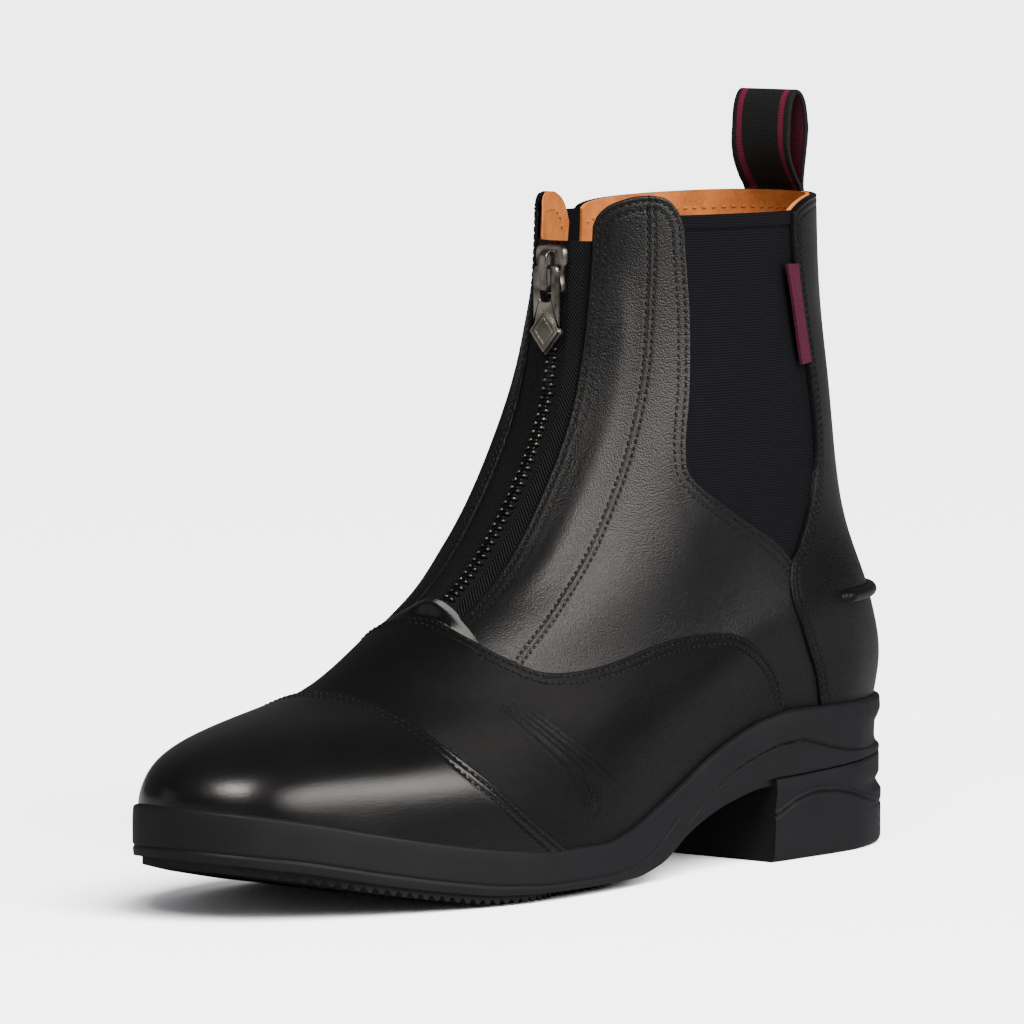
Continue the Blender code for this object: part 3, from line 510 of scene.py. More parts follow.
@dataclass(frozen=True)
class Rand:
    """Plan of the rand, split into its outer and inner sides from toe to heel."""

    outer: Array
    inner: Array

    @classmethod
    def drawn(cls) -> "Rand":
        """The plan as a smooth closed curve through its outline."""
        curve = through(OUTLINE, 160, closed=True)
        curve = np.roll(curve, -int(curve[:, 1].argmin()), axis=0)
        heel = int(curve[:, 1].argmax())
        return cls(curve[: heel + 1], np.concatenate((curve[heel:], curve[:1]))[::-1])

    @property
    def toe(self) -> float:
        """Foremost y of the rand."""
        return float(self.outer[0, 1])

    @property
    def heel(self) -> float:
        """Rearmost y of the rand."""
        return float(self.outer[-1, 1])

    def x(self, y: Array, side: Array) -> Array:
        """Edge of the rand at y, on the side that the sign gives."""
        outer = np.interp(y, self.outer[:, 1], self.outer[:, 0])
        inner = np.interp(y, self.inner[:, 1], self.inner[:, 0])
        return np.where(np.asarray(side) > 0, outer, inner)

    def loop(self, shares: Array) -> tuple[Array, Array]:
        """Points round the rand and directions out of it.

        Args:
            shares: from 0 at the toe to 1 at the heel.

        Returns:
            Points along the outer side and back along the inner side, and outward directions.
        """
        y = self.toe + (self.heel - self.toe) * shares
        outer = np.column_stack((self.x(y, 1), y))
        inner = np.column_stack((self.x(y, -1), y))[-2:0:-1]
        points = np.concatenate((outer, inner))
        along = np.roll(points, -1, axis=0) - np.roll(points, 1, axis=0)
        out = np.column_stack((along[:, 1], -along[:, 0]))
        return points, unit(out)


@dataclass(frozen=True)
class Last:
    """The surface that every piece of the upper follows.

    A ring runs round the foot at each height. Along it the share of its length is half of one
    less the cosine of a half turn of the step, so points crowd towards the toe and the heel.
    Across, it goes from the plan of the rand to an oval as it rises. Its height runs from front
    to back and keeps some of the bend of the rand's top.
    """

    rand: Rand
    rings: Array = field(default_factory=lambda: np.array(RINGS))
    centre: Array = field(default_factory=lambda: np.array(CENTRE))
    feather_inset: float = 2.4
    feather_lift: float = 0.5
    least_reach: float = 4.0
    lowest: float = -0.05
    nudge: float = 0.002
    halvings: int = 40
    front_rounds: int = 10
    front_halvings: int = 30
    front_reach: float = 0.5
    shift_samples: int = 500
    shift_steps: int = 4
    clear_share: float = 0.96

    def ring(self, height: Array) -> Array:
        """Columns of the ring table at a height, first the columns and then the shape of height."""
        return np.moveaxis(spline(np.linspace(0, 1, len(self.rings)), self.rings, height), -1, 0)

    def bend(self, share: Array) -> Array:
        """How far the feather line lies above a straight line from toe to heel."""
        front_y, front_z, back_y, back_z = self.rings[0, :4]
        top = level_curve(RAND_TOP, front_y + (back_y - front_y) * share) + self.feather_lift
        return top - (front_z + (back_z - front_z) * share)

    def centre_x(self, y: Array) -> Array:
        """Centre line of the last in plan."""
        y = np.clip(y, self.centre[0, 0], self.centre[-1, 0])
        return spline(self.centre[:, 0], self.centre[:, 1:], y)[..., 0]

    def place(self, step: Array, height: Array) -> Array:
        """Points of the surface.

        Args:
            step: signed step round the foot; past 1 it comes back along the inner side.
            height: from 0 at the feather line to 1.

        Returns:
            Points in millimetres, in one more dimension.
        """
        step, height = np.broadcast_arrays(np.asarray(step, float), np.asarray(height, float))
        turn = (step + 1) % 2 - 1
        side = np.where(turn >= 0, 1.0, -1.0)
        share = 0.5 * (1 - np.cos(np.pi * np.abs(turn)))
        front_y, front_z, back_y, back_z, outer, inner, front, back, oval, follow = self.ring(height)
        y = front_y + (back_y - front_y) * share
        rand_y = self.rand.toe + (self.rand.heel - self.rand.toe) * share
        reach = self.rand.x(rand_y, side) - self.centre_x(rand_y)
        least = self.feather_inset + self.least_reach
        reach = reach * (1 - self.feather_inset / np.maximum(np.abs(reach), least))
        round_front = np.sqrt(1 - (1 - np.clip(share / front, 0, 1)) ** 2)
        round_back = np.sqrt(1 - (1 - np.clip((1 - share) / back, 0, 1)) ** 2)
        half = side * np.where(side > 0, outer, inner) * round_front * round_back
        x = self.centre_x(y) + reach * (1 - oval) + half * oval
        z = front_z + (back_z - front_z) * share + follow * self.bend(share)
        return np.stack((x, y, z), axis=-1)

    def at(self, places: Array) -> Array:
        """Points of the surface at places."""
        return self.place(places[..., 0], places[..., 1])

    def frame(self, places: Array) -> tuple[Array, Array, Array, Array]:
        """Points, outward directions and slopes along step and height at places."""
        step, height = places[..., 0], places[..., 1]
        by = self.nudge
        along = (self.place(step + by, height) - self.place(step - by, height)) / (2 * by)
        up = (self.place(step, height + by) - self.place(step, height - by)) / (2 * by)
        return self.place(step, height), unit(np.cross(along, up)), along, up

    def lift(self, places: Array, by: Any) -> Array:
        """Points off the surface by a distance."""
        points, out, _, _ = self.frame(places)
        return points + out * np.asarray(by)[..., None]

    def from_side(self, side: Side, curve: Array) -> Array:
        """Places on one side of the last that show at y and z in side view, found by halving."""
        y, z = np.asarray(curve, float).T
        low, high = np.full_like(y, self.lowest), np.ones_like(y)
        share = np.zeros_like(y)
        for _ in range(self.halvings):
            middle = (low + high) / 2
            front_y, front_z, back_y, back_z, *_, follow = self.ring(middle)
            share = np.clip((y - front_y) / (back_y - front_y), 0, 1)
            above = front_z + (back_z - front_z) * share + follow * self.bend(share) > z
            high, low = np.where(above, middle, high), np.where(above, low, middle)
        return np.column_stack((side.value * np.arccos(1 - 2 * share) / np.pi, (low + high) / 2))

    def from_front(self, curve: Array) -> Array:
        """Places on the front of the last that show at x and z in front view, found by halving."""
        x, z = np.asarray(curve, float).T
        step, height = np.zeros_like(x), np.zeros_like(x)
        for _ in range(self.front_rounds):
            low, high = np.zeros_like(x), np.ones_like(x)
            for _ in range(self.front_halvings):
                height = (low + high) / 2
                above = self.place(step, height)[:, 2] > z
                high, low = np.where(above, height, high), np.where(above, low, height)
            low, high = np.full_like(x, -self.front_reach), np.full_like(x, self.front_reach)
            for _ in range(self.front_halvings):
                step = (low + high) / 2
                beyond = self.place(step, height)[:, 0] > x
                high, low = np.where(beyond, step, high), np.where(beyond, low, step)
        return np.column_stack((step, height))

    def length(self, path: Array) -> Array:
        """Lengths along a path of places, from 0 at its start."""
        return run_along(self.at(path))

    def along(self, path: Array, shares: Array) -> Array:
        """Places at shares of a path's length."""
        run = self.length(path)
        reached = shares * run[-1]
        return np.column_stack([np.interp(reached, run, column) for column in path.T])

    def shifted(self, path: Array, by: float) -> Array:
        """A path moved sideways on the surface, to the left of its travel seen from outside.

        Stretches that would cross over inside a corner of the path are left out.
        """
        path = self.along(path, np.linspace(0, 1, self.shift_samples))
        moved = path
        for _ in range(self.shift_steps):
            points, out, along, up = self.frame(moved)
            ahead = np.gradient(points, axis=0)
            aside = np.cross(out, ahead)
            aside *= (by / self.shift_steps / np.linalg.norm(aside, axis=1))[:, None]
            slopes = np.stack((along, up), axis=-1)
            turned = np.swapaxes(slopes, -1, -2)
            change = np.linalg.solve(turned @ slopes, turned @ aside[..., None])
            moved = moved + change[..., 0]
        clear, _ = nearest_on(self.at(moved), self.at(path))
        return moved[clear > self.clear_share * abs(by)]


@dataclass(frozen=True)
class Crease:
    """A soft trough with raised shoulders, along a line in side view."""

    side: Side
    line: tuple[Pair, ...]
    deep: float
    wide: float
    samples: int = 12
    ridge_off: float = 1.7
    ridge_share: float = 0.45

    def relief(self, last: Last, points: Array) -> Array:
        """Height that the crease adds at points: a trough, and a lower ridge beside it."""
        path = last.from_side(self.side, through(self.line, self.samples))
        distance, share = nearest_on(points, last.at(path))
        fade = np.sqrt(np.maximum(np.sin(np.pi * share), 0))
        ridge = bell(distance - self.ridge_off * self.wide, self.wide)
        return fade * self.deep * (self.ridge_share * ridge - bell(distance, self.wide))


@dataclass
class Seams:
    """Edges and seams of the upper as paths of places on the last."""

    last: Last
    over_samples: int = 40
    side_samples: int = 16
    zip_samples: int = 12
    beside_samples: int = 80
    middle_gap: float = 0.012
    foot_gap: float = 0.001

    def over_foot(self, table: Table) -> Array:
        """A seam over the top of the foot, from the inner feather line to the outer one."""
        halves = []
        for side in (Side.INNER, Side.OUTER):
            path = self.last.from_side(side, through(table, self.over_samples))
            off_middle = np.abs(path[:, 0]) > self.middle_gap
            halves.append(path[off_middle & (path[:, 1] > self.last.lowest + self.foot_gap)])
        middle = np.array(((0.0, (halves[0][0, 1] + halves[1][0, 1]) / 2),))
        return np.concatenate((halves[0][::-1], middle, halves[1]))

    def side(self, side: Side, *tables: Table) -> Array:
        """One path through tables of y and z, laid end to end."""
        return self.last.from_side(side, through(np.concatenate(tables), self.side_samples))

    def zip_edge(self, side: Side) -> Array:
        """Edge of a front panel along the zip, from the top down."""
        table = ZIP_EDGE if side is Side.OUTER else INNER_ZIP_EDGE
        return self.last.from_front(through(table, self.zip_samples))

    def beside_zip(self, side: Side, x: float, top: float, foot: float) -> Array:
        """A line at a distance from the middle of the zip, from the top down."""
        z = np.linspace(top, foot, self.beside_samples)
        return self.last.from_front(np.column_stack((np.full_like(z, ZIP_X + side.value * x), z)))


def coons(
    last: Last, start: Array, end: Array, top: Array, foot: Array, columns: Array, rows: Array,
    start_rows: Optional[Array] = None,
) -> Array:
    """A grid of places between four paths.

    It is the sum of the two sheets that are straight across and straight down, less the sheet
    that is straight both ways between the corners.

    Args:
        last: the surface that the paths lie on.
        start: path down the first column.
        end: path down the last column.
        top: path along the first row.
        foot: path along the last row.
        columns: shares of the columns.
        rows: shares of the rows.
        start_rows: shares of the rows along the first column, where they differ.

    Returns:
        Places, rows by columns by two.
    """
    left = last.along(start, rows if start_rows is None else start_rows)[:, None]
    right = last.along(end, rows)[:, None]
    above, below = last.along(top, columns)[None], last.along(foot, columns)[None]
    u, v = columns[None, :, None], rows[:, None, None]
    across = (1 - u) * left + u * right
    down = (1 - v) * above + v * below
    corners = (1 - v) * ((1 - u) * left[:1] + u * right[:1]) + v * ((1 - u) * left[-1:] + u * right[-1:])
    return across + down - corners


def straight(first: Array, last_one: Array, samples: int = 30) -> Array:
    """A straight path between two places."""
    return first + (last_one - first) * np.linspace(0, 1, samples)[:, None]


def spanned(last: Last, top: Array, foot: Array, columns: Array, rows: Array) -> Array:
    """A grid of places between two paths, straight down at its ends."""
    start, end = straight(top[0], foot[0]), straight(top[-1], foot[-1])
    return coons(last, start, end, top, foot, columns, rows)


@dataclass
class Panel:
    """A cut piece that lies on the last: a grid of places with a face, a back and worked edges."""

    last: Last
    grid: Array
    face: float
    back: float
    rolled: tuple[Border, ...] = ()
    roll: float = 0.75
    rows_at: tuple[float, ...] = ()
    row_deep: float = 0.2
    row_wide: float = 0.5
    creases: tuple[Crease, ...] = ()
    extra: Optional[Array] = None

    def from_edge(self, points: Array) -> Array:
        """Distance of each point from the nearest rolled border."""
        borders = {Border.START: points[:, 0], Border.END: points[:, -1], Border.TOP: points[0]}
        return np.min([nearest_on(points, borders[border])[0] for border in self.rolled], axis=0)

    def shape(self) -> Shape:
        """The closed sheet: its face drops in a quarter round at rolled edges and dips at stitches."""
        points, out, _, _ = self.last.frame(self.grid)
        relief = np.full(points.shape[:2], self.face)
        if self.rolled:
            edge = self.from_edge(points)
            inside = np.minimum(edge, self.roll)
            relief -= self.roll - np.sqrt(np.maximum(self.roll**2 - (self.roll - inside) ** 2, 0))
            for row in self.rows_at:
                relief -= self.row_deep * bell(edge - row, self.row_wide)
        for crease in self.creases:
            relief += crease.relief(self.last, points)
        if self.extra is not None:
            relief += self.extra
        return slab(points + out * relief[..., None], points + out * self.back)


def linear(code: str) -> tuple[float, float, float, float]:
    """Linear colour of an sRGB hex value."""
    parts = [int(code[i:i + 2], 16) / 255 for i in (1, 3, 5)]
    red, green, blue = (p / 12.92 if p <= 0.04045 else ((p + 0.055) / 1.055) ** 2.4 for p in parts)
    return (red, green, blue, 1.0)


def feed(tree: Tree, node: bpy.types.Node, inputs: dict) -> None:
    """Set each named input of a node to a value, or link a socket to it."""
    for name, value in inputs.items():
        if isinstance(value, bpy.types.NodeSocket):
            tree.links.new(value, node.inputs[name])
        else:
            node.inputs[name].default_value = value


def add_node(tree: Tree, kind: str, inputs: dict, out: Any = 0, **settings: Any) -> bpy.types.NodeSocket:
    """Add a shader node with its settings, its values and its links.

    Args:
        tree: the material's nodes.
        kind: Blender's name of the node after its first two words.
        inputs: a value or a linked socket for each input, by its name or number.
        out: name or number of the output to read.
        settings: the node's own properties.

    Returns:
        The output of the new node.
    """
    made = tree.nodes.new("ShaderNode" + kind)
    for name, value in settings.items():
        setattr(made, name, value)
    feed(tree, made, inputs)
    return made.outputs[out]


def scale_of(size_mm: float) -> float:
    """Scale of a noise or cell pattern whose features measure a size in millimetres."""
    return 1.0 / (size_mm * MM)


def turns(pitch_mm: float) -> float:
    """Factor that turns a length in metres into an angle, one turn for each pitch."""
    return 2 * math.pi / (pitch_mm * MM)


def toned(add: Adder, value: Any, low: float, high: float, dark: str, light: str) -> bpy.types.NodeSocket:
    """Colour that goes from one hex value to another as a value goes from low to high."""
    share = add("MapRange", {0: value, 1: low, 2: high})
    return add("Mix", {0: share, 6: linear(dark), 7: linear(light)}, 2, data_type="RGBA")


@dataclass(frozen=True)
class Finish:
    """A material: what it is called, and in the finishes below what feeds its shader."""

    name: str

    def inputs(self, add: Adder) -> dict:
        """What feeds the shader."""
        raise NotImplementedError

    def build(self) -> Material:
        """The finished material."""
        made = bpy.data.materials.new(self.name)
        made.use_nodes = True
        tree = made.node_tree
        feed(tree, tree.nodes["Principled BSDF"], self.inputs(partial(add_node, tree)))
        return made


@dataclass(frozen=True)
class GrainLeather(Finish):
    """Aniline-dyed calf, plated and polished: a fine pebble that breaks up a soft gloss."""

    dark: str = "#020202"
    light: str = "#050505"
    pebble_mm: float = 0.5
    pore_mm: float = 0.26
    cloud_mm: float = 28.0
    bump_mm: float = 0.14
    strength: float = 0.9
    smooth: float = 0.33
    rough: float = 0.41
    specular: float = 0.11
    coat: float = 0.05
    coat_rough: float = 0.24

    def inputs(self, add: Adder) -> dict:
        """What feeds the shader."""
        where = add("TexCoord", {}, "Object")
        pebble = add("TexVoronoi", {"Vector": where, "Scale": scale_of(self.pebble_mm)})
        pores = add("TexNoise", {"Vector": where, "Scale": scale_of(self.pore_mm), "Detail": 3.0})
        cloud = add("TexNoise", {"Vector": where, "Scale": scale_of(self.cloud_mm), "Detail": 2.0})
        pitted = add("Math", {0: pores, 1: 0.35}, operation="MULTIPLY")
        height = add("Math", {0: pebble, 1: -0.8, 2: pitted}, operation="MULTIPLY_ADD")
        bump = add("Bump", {"Strength": self.strength, "Distance": self.bump_mm * MM, "Height": height})
        return {
            "IOR": 1.5, "Specular IOR Level": self.specular,
            "Coat Weight": self.coat, "Coat Roughness": self.coat_rough,
            "Base Color": toned(add, cloud, 0, 1, self.dark, self.light),
            "Roughness": add("MapRange", {0: cloud, 1: 0.3, 2: 0.7, 3: self.smooth, 4: self.rough}),
            "Normal": bump, "Coat Normal": bump,
        }


@dataclass(frozen=True)
class LiningLeather(Finish):
    """Vegetable-tanned split, left bare: a warm tan with soft nap and darker pores."""

    name: str = "tan_lining"
    dark: str = "#5D2E13"
    light: str = "#895027"
    fibre_mm: float = 0.8
    cloud_mm: float = 9.0
    bump_mm: float = 0.1

    def inputs(self, add: Adder) -> dict:
        """What feeds the shader."""
        where = add("TexCoord", {}, "Object")
        fibre = add("TexNoise", {"Vector": where, "Scale": scale_of(self.fibre_mm), "Detail": 5.0})
        cloud = add("TexNoise", {"Vector": where, "Scale": scale_of(self.cloud_mm), "Detail": 3.0})
        broad = add("Math", {0: cloud, 1: 0.75}, operation="MULTIPLY")
        share = add("Math", {0: fibre, 1: 0.45, 2: broad}, operation="MULTIPLY_ADD")
        bump = add("Bump", {"Strength": 0.3, "Distance": self.bump_mm * MM, "Height": fibre})
        return {
            "Roughness": 0.8, "Specular IOR Level": 0.03,
            "Base Color": toned(add, share, 0.3, 0.85, self.dark, self.light),
            "Normal": bump,
        }


@dataclass(frozen=True)
class MouldedRubber(Finish):
    """Moulded nitrile rubber: a flat dark grey with the fine spark texture of its mould."""

    name: str = "sole_rubber"
    dark: str = "#050506"
    light: str = "#09090B"
    spark_mm: float = 0.5
    cloud_mm: float = 16.0
    bump_mm: float = 0.06

    def inputs(self, add: Adder) -> dict:
        """What feeds the shader."""
        where = add("TexCoord", {}, "Object")
        spark = add("TexNoise", {"Vector": where, "Scale": scale_of(self.spark_mm), "Detail": 2.0})
        cloud = add("TexNoise", {"Vector": where, "Scale": scale_of(self.cloud_mm), "Detail": 3.0})
        bump = add("Bump", {"Strength": 0.35, "Distance": self.bump_mm * MM, "Height": spark})
        return {
            "Specular IOR Level": 0.17,
            "Base Color": toned(add, cloud, 0, 1, self.dark, self.light),
            "Roughness": add("MapRange", {0: cloud, 1: 0.3, 2: 0.7, 3: 0.5, 4: 0.62}),
            "Normal": bump,
        }


@dataclass(frozen=True)
class RibbedElastic(Finish):
    """Covered-rubber elastic webbing: close cross ribs of matt black yarn."""

    name: str = "gore_elastic"
    dark: str = "#020203"
    light: str = "#07070A"
    rib_mm: float = 0.75
    yarn_mm: float = 0.5
    bump_mm: float = 0.1

    def inputs(self, add: Adder) -> dict:
        """What feeds the shader."""
        where = add("TexCoord", {}, "Object")
        up = add("SeparateXYZ", {0: where}, "Z")
        turned = add("Math", {0: up, 1: turns(self.rib_mm)}, operation="MULTIPLY")
        rib = add("Math", {0: turned}, operation="SINE")
        yarn = add("TexNoise", {"Vector": where, "Scale": scale_of(self.yarn_mm), "Detail": 3.0})
        height = add("Math", {0: yarn, 1: 0.9, 2: rib}, operation="MULTIPLY_ADD")
        bump = add("Bump", {"Strength": 0.35, "Distance": self.bump_mm * MM, "Height": height})
        return {
            "Roughness": 0.9, "Specular IOR Level": 0.08,
            "Base Color": toned(add, height, -0.7, 1.6, self.dark, self.light),
            "Normal": bump,
        }


@dataclass(frozen=True)
class HerringboneTape(Finish):
    """Woven polyester zip tape: slanting ridges that turn back every few millimetres."""

    name: str = "zip_tape"
    dark: str = "#010101"
    light: str = "#101012"
    ridge_mm: float = 1.2
    turn_mm: float = 4.3
    bump_mm: float = 0.3

    def inputs(self, add: Adder) -> dict:
        """What feeds the shader."""
        flat = add("SeparateXYZ", {0: add("UVMap", {}, uv_map="flat")}).node.outputs
        aside = add("Math", {0: flat["X"], 1: self.turn_mm * MM}, operation="PINGPONG")
        leant = add("Math", {0: aside, 1: 1.3, 2: flat["Y"]}, operation="MULTIPLY_ADD")
        turned = add("Math", {0: leant, 1: turns(self.ridge_mm)}, operation="MULTIPLY")
        ridge = add("Math", {0: turned}, operation="SINE")
        bump = add("Bump", {"Strength": 0.8, "Distance": self.bump_mm * MM, "Height": ridge})
        return {
            "Roughness": 0.75, "Specular IOR Level": 0.1,
            "Base Color": toned(add, ridge, -0.4, 1.0, self.dark, self.light),
            "Normal": bump,
        }


@dataclass(frozen=True)
class AntiqueNickel(Finish):
    """Die-cast zinc, nickel plated and antiqued: warm grey metal with a darker bloom."""

    dark: str = "#403D38"
    light: str = "#857F77"
    rough: float = 0.27
    bloom_mm: float = 4.5
    bump_mm: float = 0.1

    def inputs(self, add: Adder) -> dict:
        """What feeds the shader."""
        where = add("TexCoord", {}, "Object")
        bloom = add("TexNoise", {"Vector": where, "Scale": scale_of(self.bloom_mm), "Detail": 3.0})
        bump = add("Bump", {"Strength": 0.15, "Distance": self.bump_mm * MM, "Height": bloom})
        return {
            "Metallic": 1.0,
            "Base Color": toned(add, bloom, 0.3, 0.6, self.dark, self.light),
            "Roughness": add("MapRange", {
                0: bloom, 1: 0.3, 2: 0.7, 3: self.rough + 0.08, 4: self.rough - 0.04,
            }),
            "Normal": bump,
        }


@dataclass(frozen=True)
class StripedWebbing(Finish):
    """Woven polyester webbing: close cross ribs, black with two coloured stripes.

    Its inner face shows the coloured yarn that floats behind the black. The flat map runs across
    the front face with its middle at 0, and across the back face with its middle at back_at_mm.
    """

    name: str = "loop_webbing"
    black: str = "#0C0C0C"
    stripe: str = "#3A0819"
    behind: str = "#2E0813"
    stripe_at_mm: float = 7.7
    stripe_half_mm: float = 0.95
    ragged_mm: float = 0.12
    selvedge_mm: float = 9.6
    rib_mm: float = 0.55
    back_at_mm: float = 100.0
    bump_mm: float = 0.15

    def inputs(self, add: Adder) -> dict:
        """What feeds the shader."""
        flat = add("SeparateXYZ", {0: add("UVMap", {}, uv_map="flat")}).node.outputs
        turned = add("Math", {0: flat["Y"], 1: turns(self.rib_mm)}, operation="MULTIPLY")
        rib = add("Math", {0: turned}, operation="SINE")
        across = add("Math", {0: flat["X"]}, operation="ABSOLUTE")
        to_stripe = add("Math", {0: across, 1: self.stripe_at_mm * MM}, operation="SUBTRACT")
        off = add("Math", {0: to_stripe}, operation="ABSOLUTE")
        edge = add("Math", {0: rib, 1: self.ragged_mm * MM, 2: self.stripe_half_mm * MM},
                   operation="MULTIPLY_ADD")
        striped = add("Math", {0: off, 1: edge}, operation="LESS_THAN")
        to_middle = add("Math", {0: across, 1: self.back_at_mm * MM}, operation="SUBTRACT")
        away = add("Math", {0: to_middle}, operation="ABSOLUTE")
        selvedge = add("Math", {0: away, 1: self.selvedge_mm * MM}, operation="GREATER_THAN")
        ribbed = add("MapRange", {0: rib, 1: -1.0, 2: 1.0, 3: 0.0, 4: 0.35})
        shade = add("Math", {0: selvedge, 1: ribbed}, operation="MAXIMUM")
        front = add("Math", {0: flat["X"], 1: self.back_at_mm / 2 * MM}, operation="LESS_THAN")
        bump = add("Bump", {"Strength": 0.45, "Distance": self.bump_mm * MM, "Height": rib})
        return {
            "Roughness": 0.8, "Specular IOR Level": 0.1,
            "Base Color": add("Mix", {
                0: front, 6: toned(add, shade, 0, 1, self.behind, self.black),
                7: toned(add, striped, 0, 1, self.black, self.stripe),
            }, 2, data_type="RGBA"),
            "Normal": bump,
        }


@dataclass(frozen=True)
class WovenCloth(Finish):
    """Plain woven ribbon or twisted sewing thread: one colour with a fine yarn."""

    dark: str
    light: str
    yarn_mm: float = 0.5
    rough: float = 0.7
    specular: float = 0.12
    bump_mm: float = 0.15

    def inputs(self, add: Adder) -> dict:
        """What feeds the shader."""
        where = add("TexCoord", {}, "Object")
        yarn = add("TexNoise", {"Vector": where, "Scale": scale_of(self.yarn_mm), "Detail": 3.0})
        bump = add("Bump", {"Strength": 0.5, "Distance": self.bump_mm * MM, "Height": yarn})
        return {
            "Roughness": self.rough, "Specular IOR Level": self.specular,
            "Base Color": toned(add, yarn, 0.35, 0.65, self.dark, self.light),
            "Normal": bump,
        }


@dataclass(frozen=True)
class PaintedFloor(Finish):
    """A pale matt floor that looks darker in the polish of the boot."""

    name: str = "pale_floor"
    pale: str = "#F1F1F3"
    mirrored: str = "#5C5C5E"

    def inputs(self, add: Adder) -> dict:
        """What feeds the shader."""
        glossy = add("LightPath", {}, "Is Glossy Ray")
        return {"Roughness": 0.75, "Base Color": toned(add, glossy, 0, 1, self.pale, self.mirrored)}


def dressed(finish: Finish) -> Any:
    """A field that starts as the material of a finish."""
    return field(default_factory=finish.build)


@dataclass
class Finishes:
    """Every material of the boot."""

    leather: Material = dressed(GrainLeather("grain_leather"))
    polished: Material = dressed(GrainLeather(
        "polished_leather", pebble_mm=0.48, bump_mm=0.06, strength=0.6, smooth=0.2, rough=0.27, coat=0.3))
    lining: Material = dressed(LiningLeather())
    rubber: Material = dressed(MouldedRubber())
    elastic: Material = dressed(RibbedElastic())
    tape: Material = dressed(HerringboneTape())
    nickel: Material = dressed(AntiqueNickel("antique_nickel"))
    # The teeth and their heads are two copies of one nickel: the dark one is painted shade on the bodies, the
    # brighter one a painted highlight on the heads.
    teeth: Material = dressed(AntiqueNickel("dark_teeth", "#1A1A1B", "#343332", 0.36))
    heads: Material = dressed(AntiqueNickel("highlit_tooth_heads", "#33322F", "#68655F", 0.3))
    antiqued: Material = dressed(AntiqueNickel("antiqued_field", "#3E3B37", "#625E58", 0.34))
    webbing: Material = dressed(StripedWebbing())
    ribbon: Material = dressed(WovenCloth("tab_ribbon", "#1C040E", "#2F0817"))
    thread: Material = dressed(WovenCloth("bonded_thread", "#010101", "#040404", 0.3, 0.5, 0.22))
    tan_thread: Material = dressed(WovenCloth("tan_thread", "#5E3514", "#7C4A20", 0.3, 0.6))


@dataclass
class Stitching:
    """Lockstitch rows: short threads that rise out of the leather and dive back into it."""

    last: Last
    pitch: float = 2.1
    long: float = 1.4
    wide: float = 0.74
    high: float = 0.3
    slant: float = math.radians(7)
    reach: float = 0.4
    stitches: list[Shape] = field(default_factory=list)

    def row(self, path: Array, lift: float, inside: bool = False) -> None:
        """Lay a row of stitches along a path of places.

        Args:
            path: places from the row's start to its end.
            lift: height of the leather's face over the last.
            inside: whether the row shows on the inside of the upper.
        """
        total = self.last.length(path)[-1]
        count = int(total / self.pitch)
        shares = (np.arange(count) + 0.5) / count
        places = self.last.along(path, shares)
        points, out, _, _ = self.last.frame(places)
        ahead = self.last.along(path, np.clip(shares + self.reach / total, 0, 1))
        behind = self.last.along(path, np.clip(shares - self.reach / total, 0, 1))
        along = unit(self.last.at(ahead) - self.last.at(behind))
        up = -out if inside else out
        across = np.cross(up, along)
        turned = along * math.cos(self.slant) + across * math.sin(self.slant)
        aside = np.cross(up, turned)
        middle = points + out * lift
        run = np.array((-0.5, -0.34, 0.0, 0.34, 0.5)) * self.long
        rise = np.array((-0.9, 0.1, 0.3, 0.1, -0.9)) * self.high
        fat = np.array((0.35, 0.9, 1.0, 0.9, 0.35))
        angle = np.arange(6) * math.pi / 3
        rings = (
            middle[:, None, None] + turned[:, None, None] * run[None, :, None, None]
            + up[:, None, None] * (rise[:, None] + self.high * fat[:, None] * np.sin(angle))[None, ..., None]
            + aside[:, None, None] * (self.wide / 2 * fat[:, None] * np.cos(angle))[None, ..., None]
        )
        side = grid_faces(5, 6, wrap_columns=True)
        ends = np.array(((3, 2, 1, 0), (5, 4, 3, 0), (24, 25, 26, 27), (24, 27, 28, 29)))
        each = np.concatenate((side, ends))
        faces = (each[None] + 30 * np.arange(count)[:, None, None]).reshape(-1, 4)
        self.stitches.append(Shape(rings.reshape(-1, 3), [faces]).turned_out())


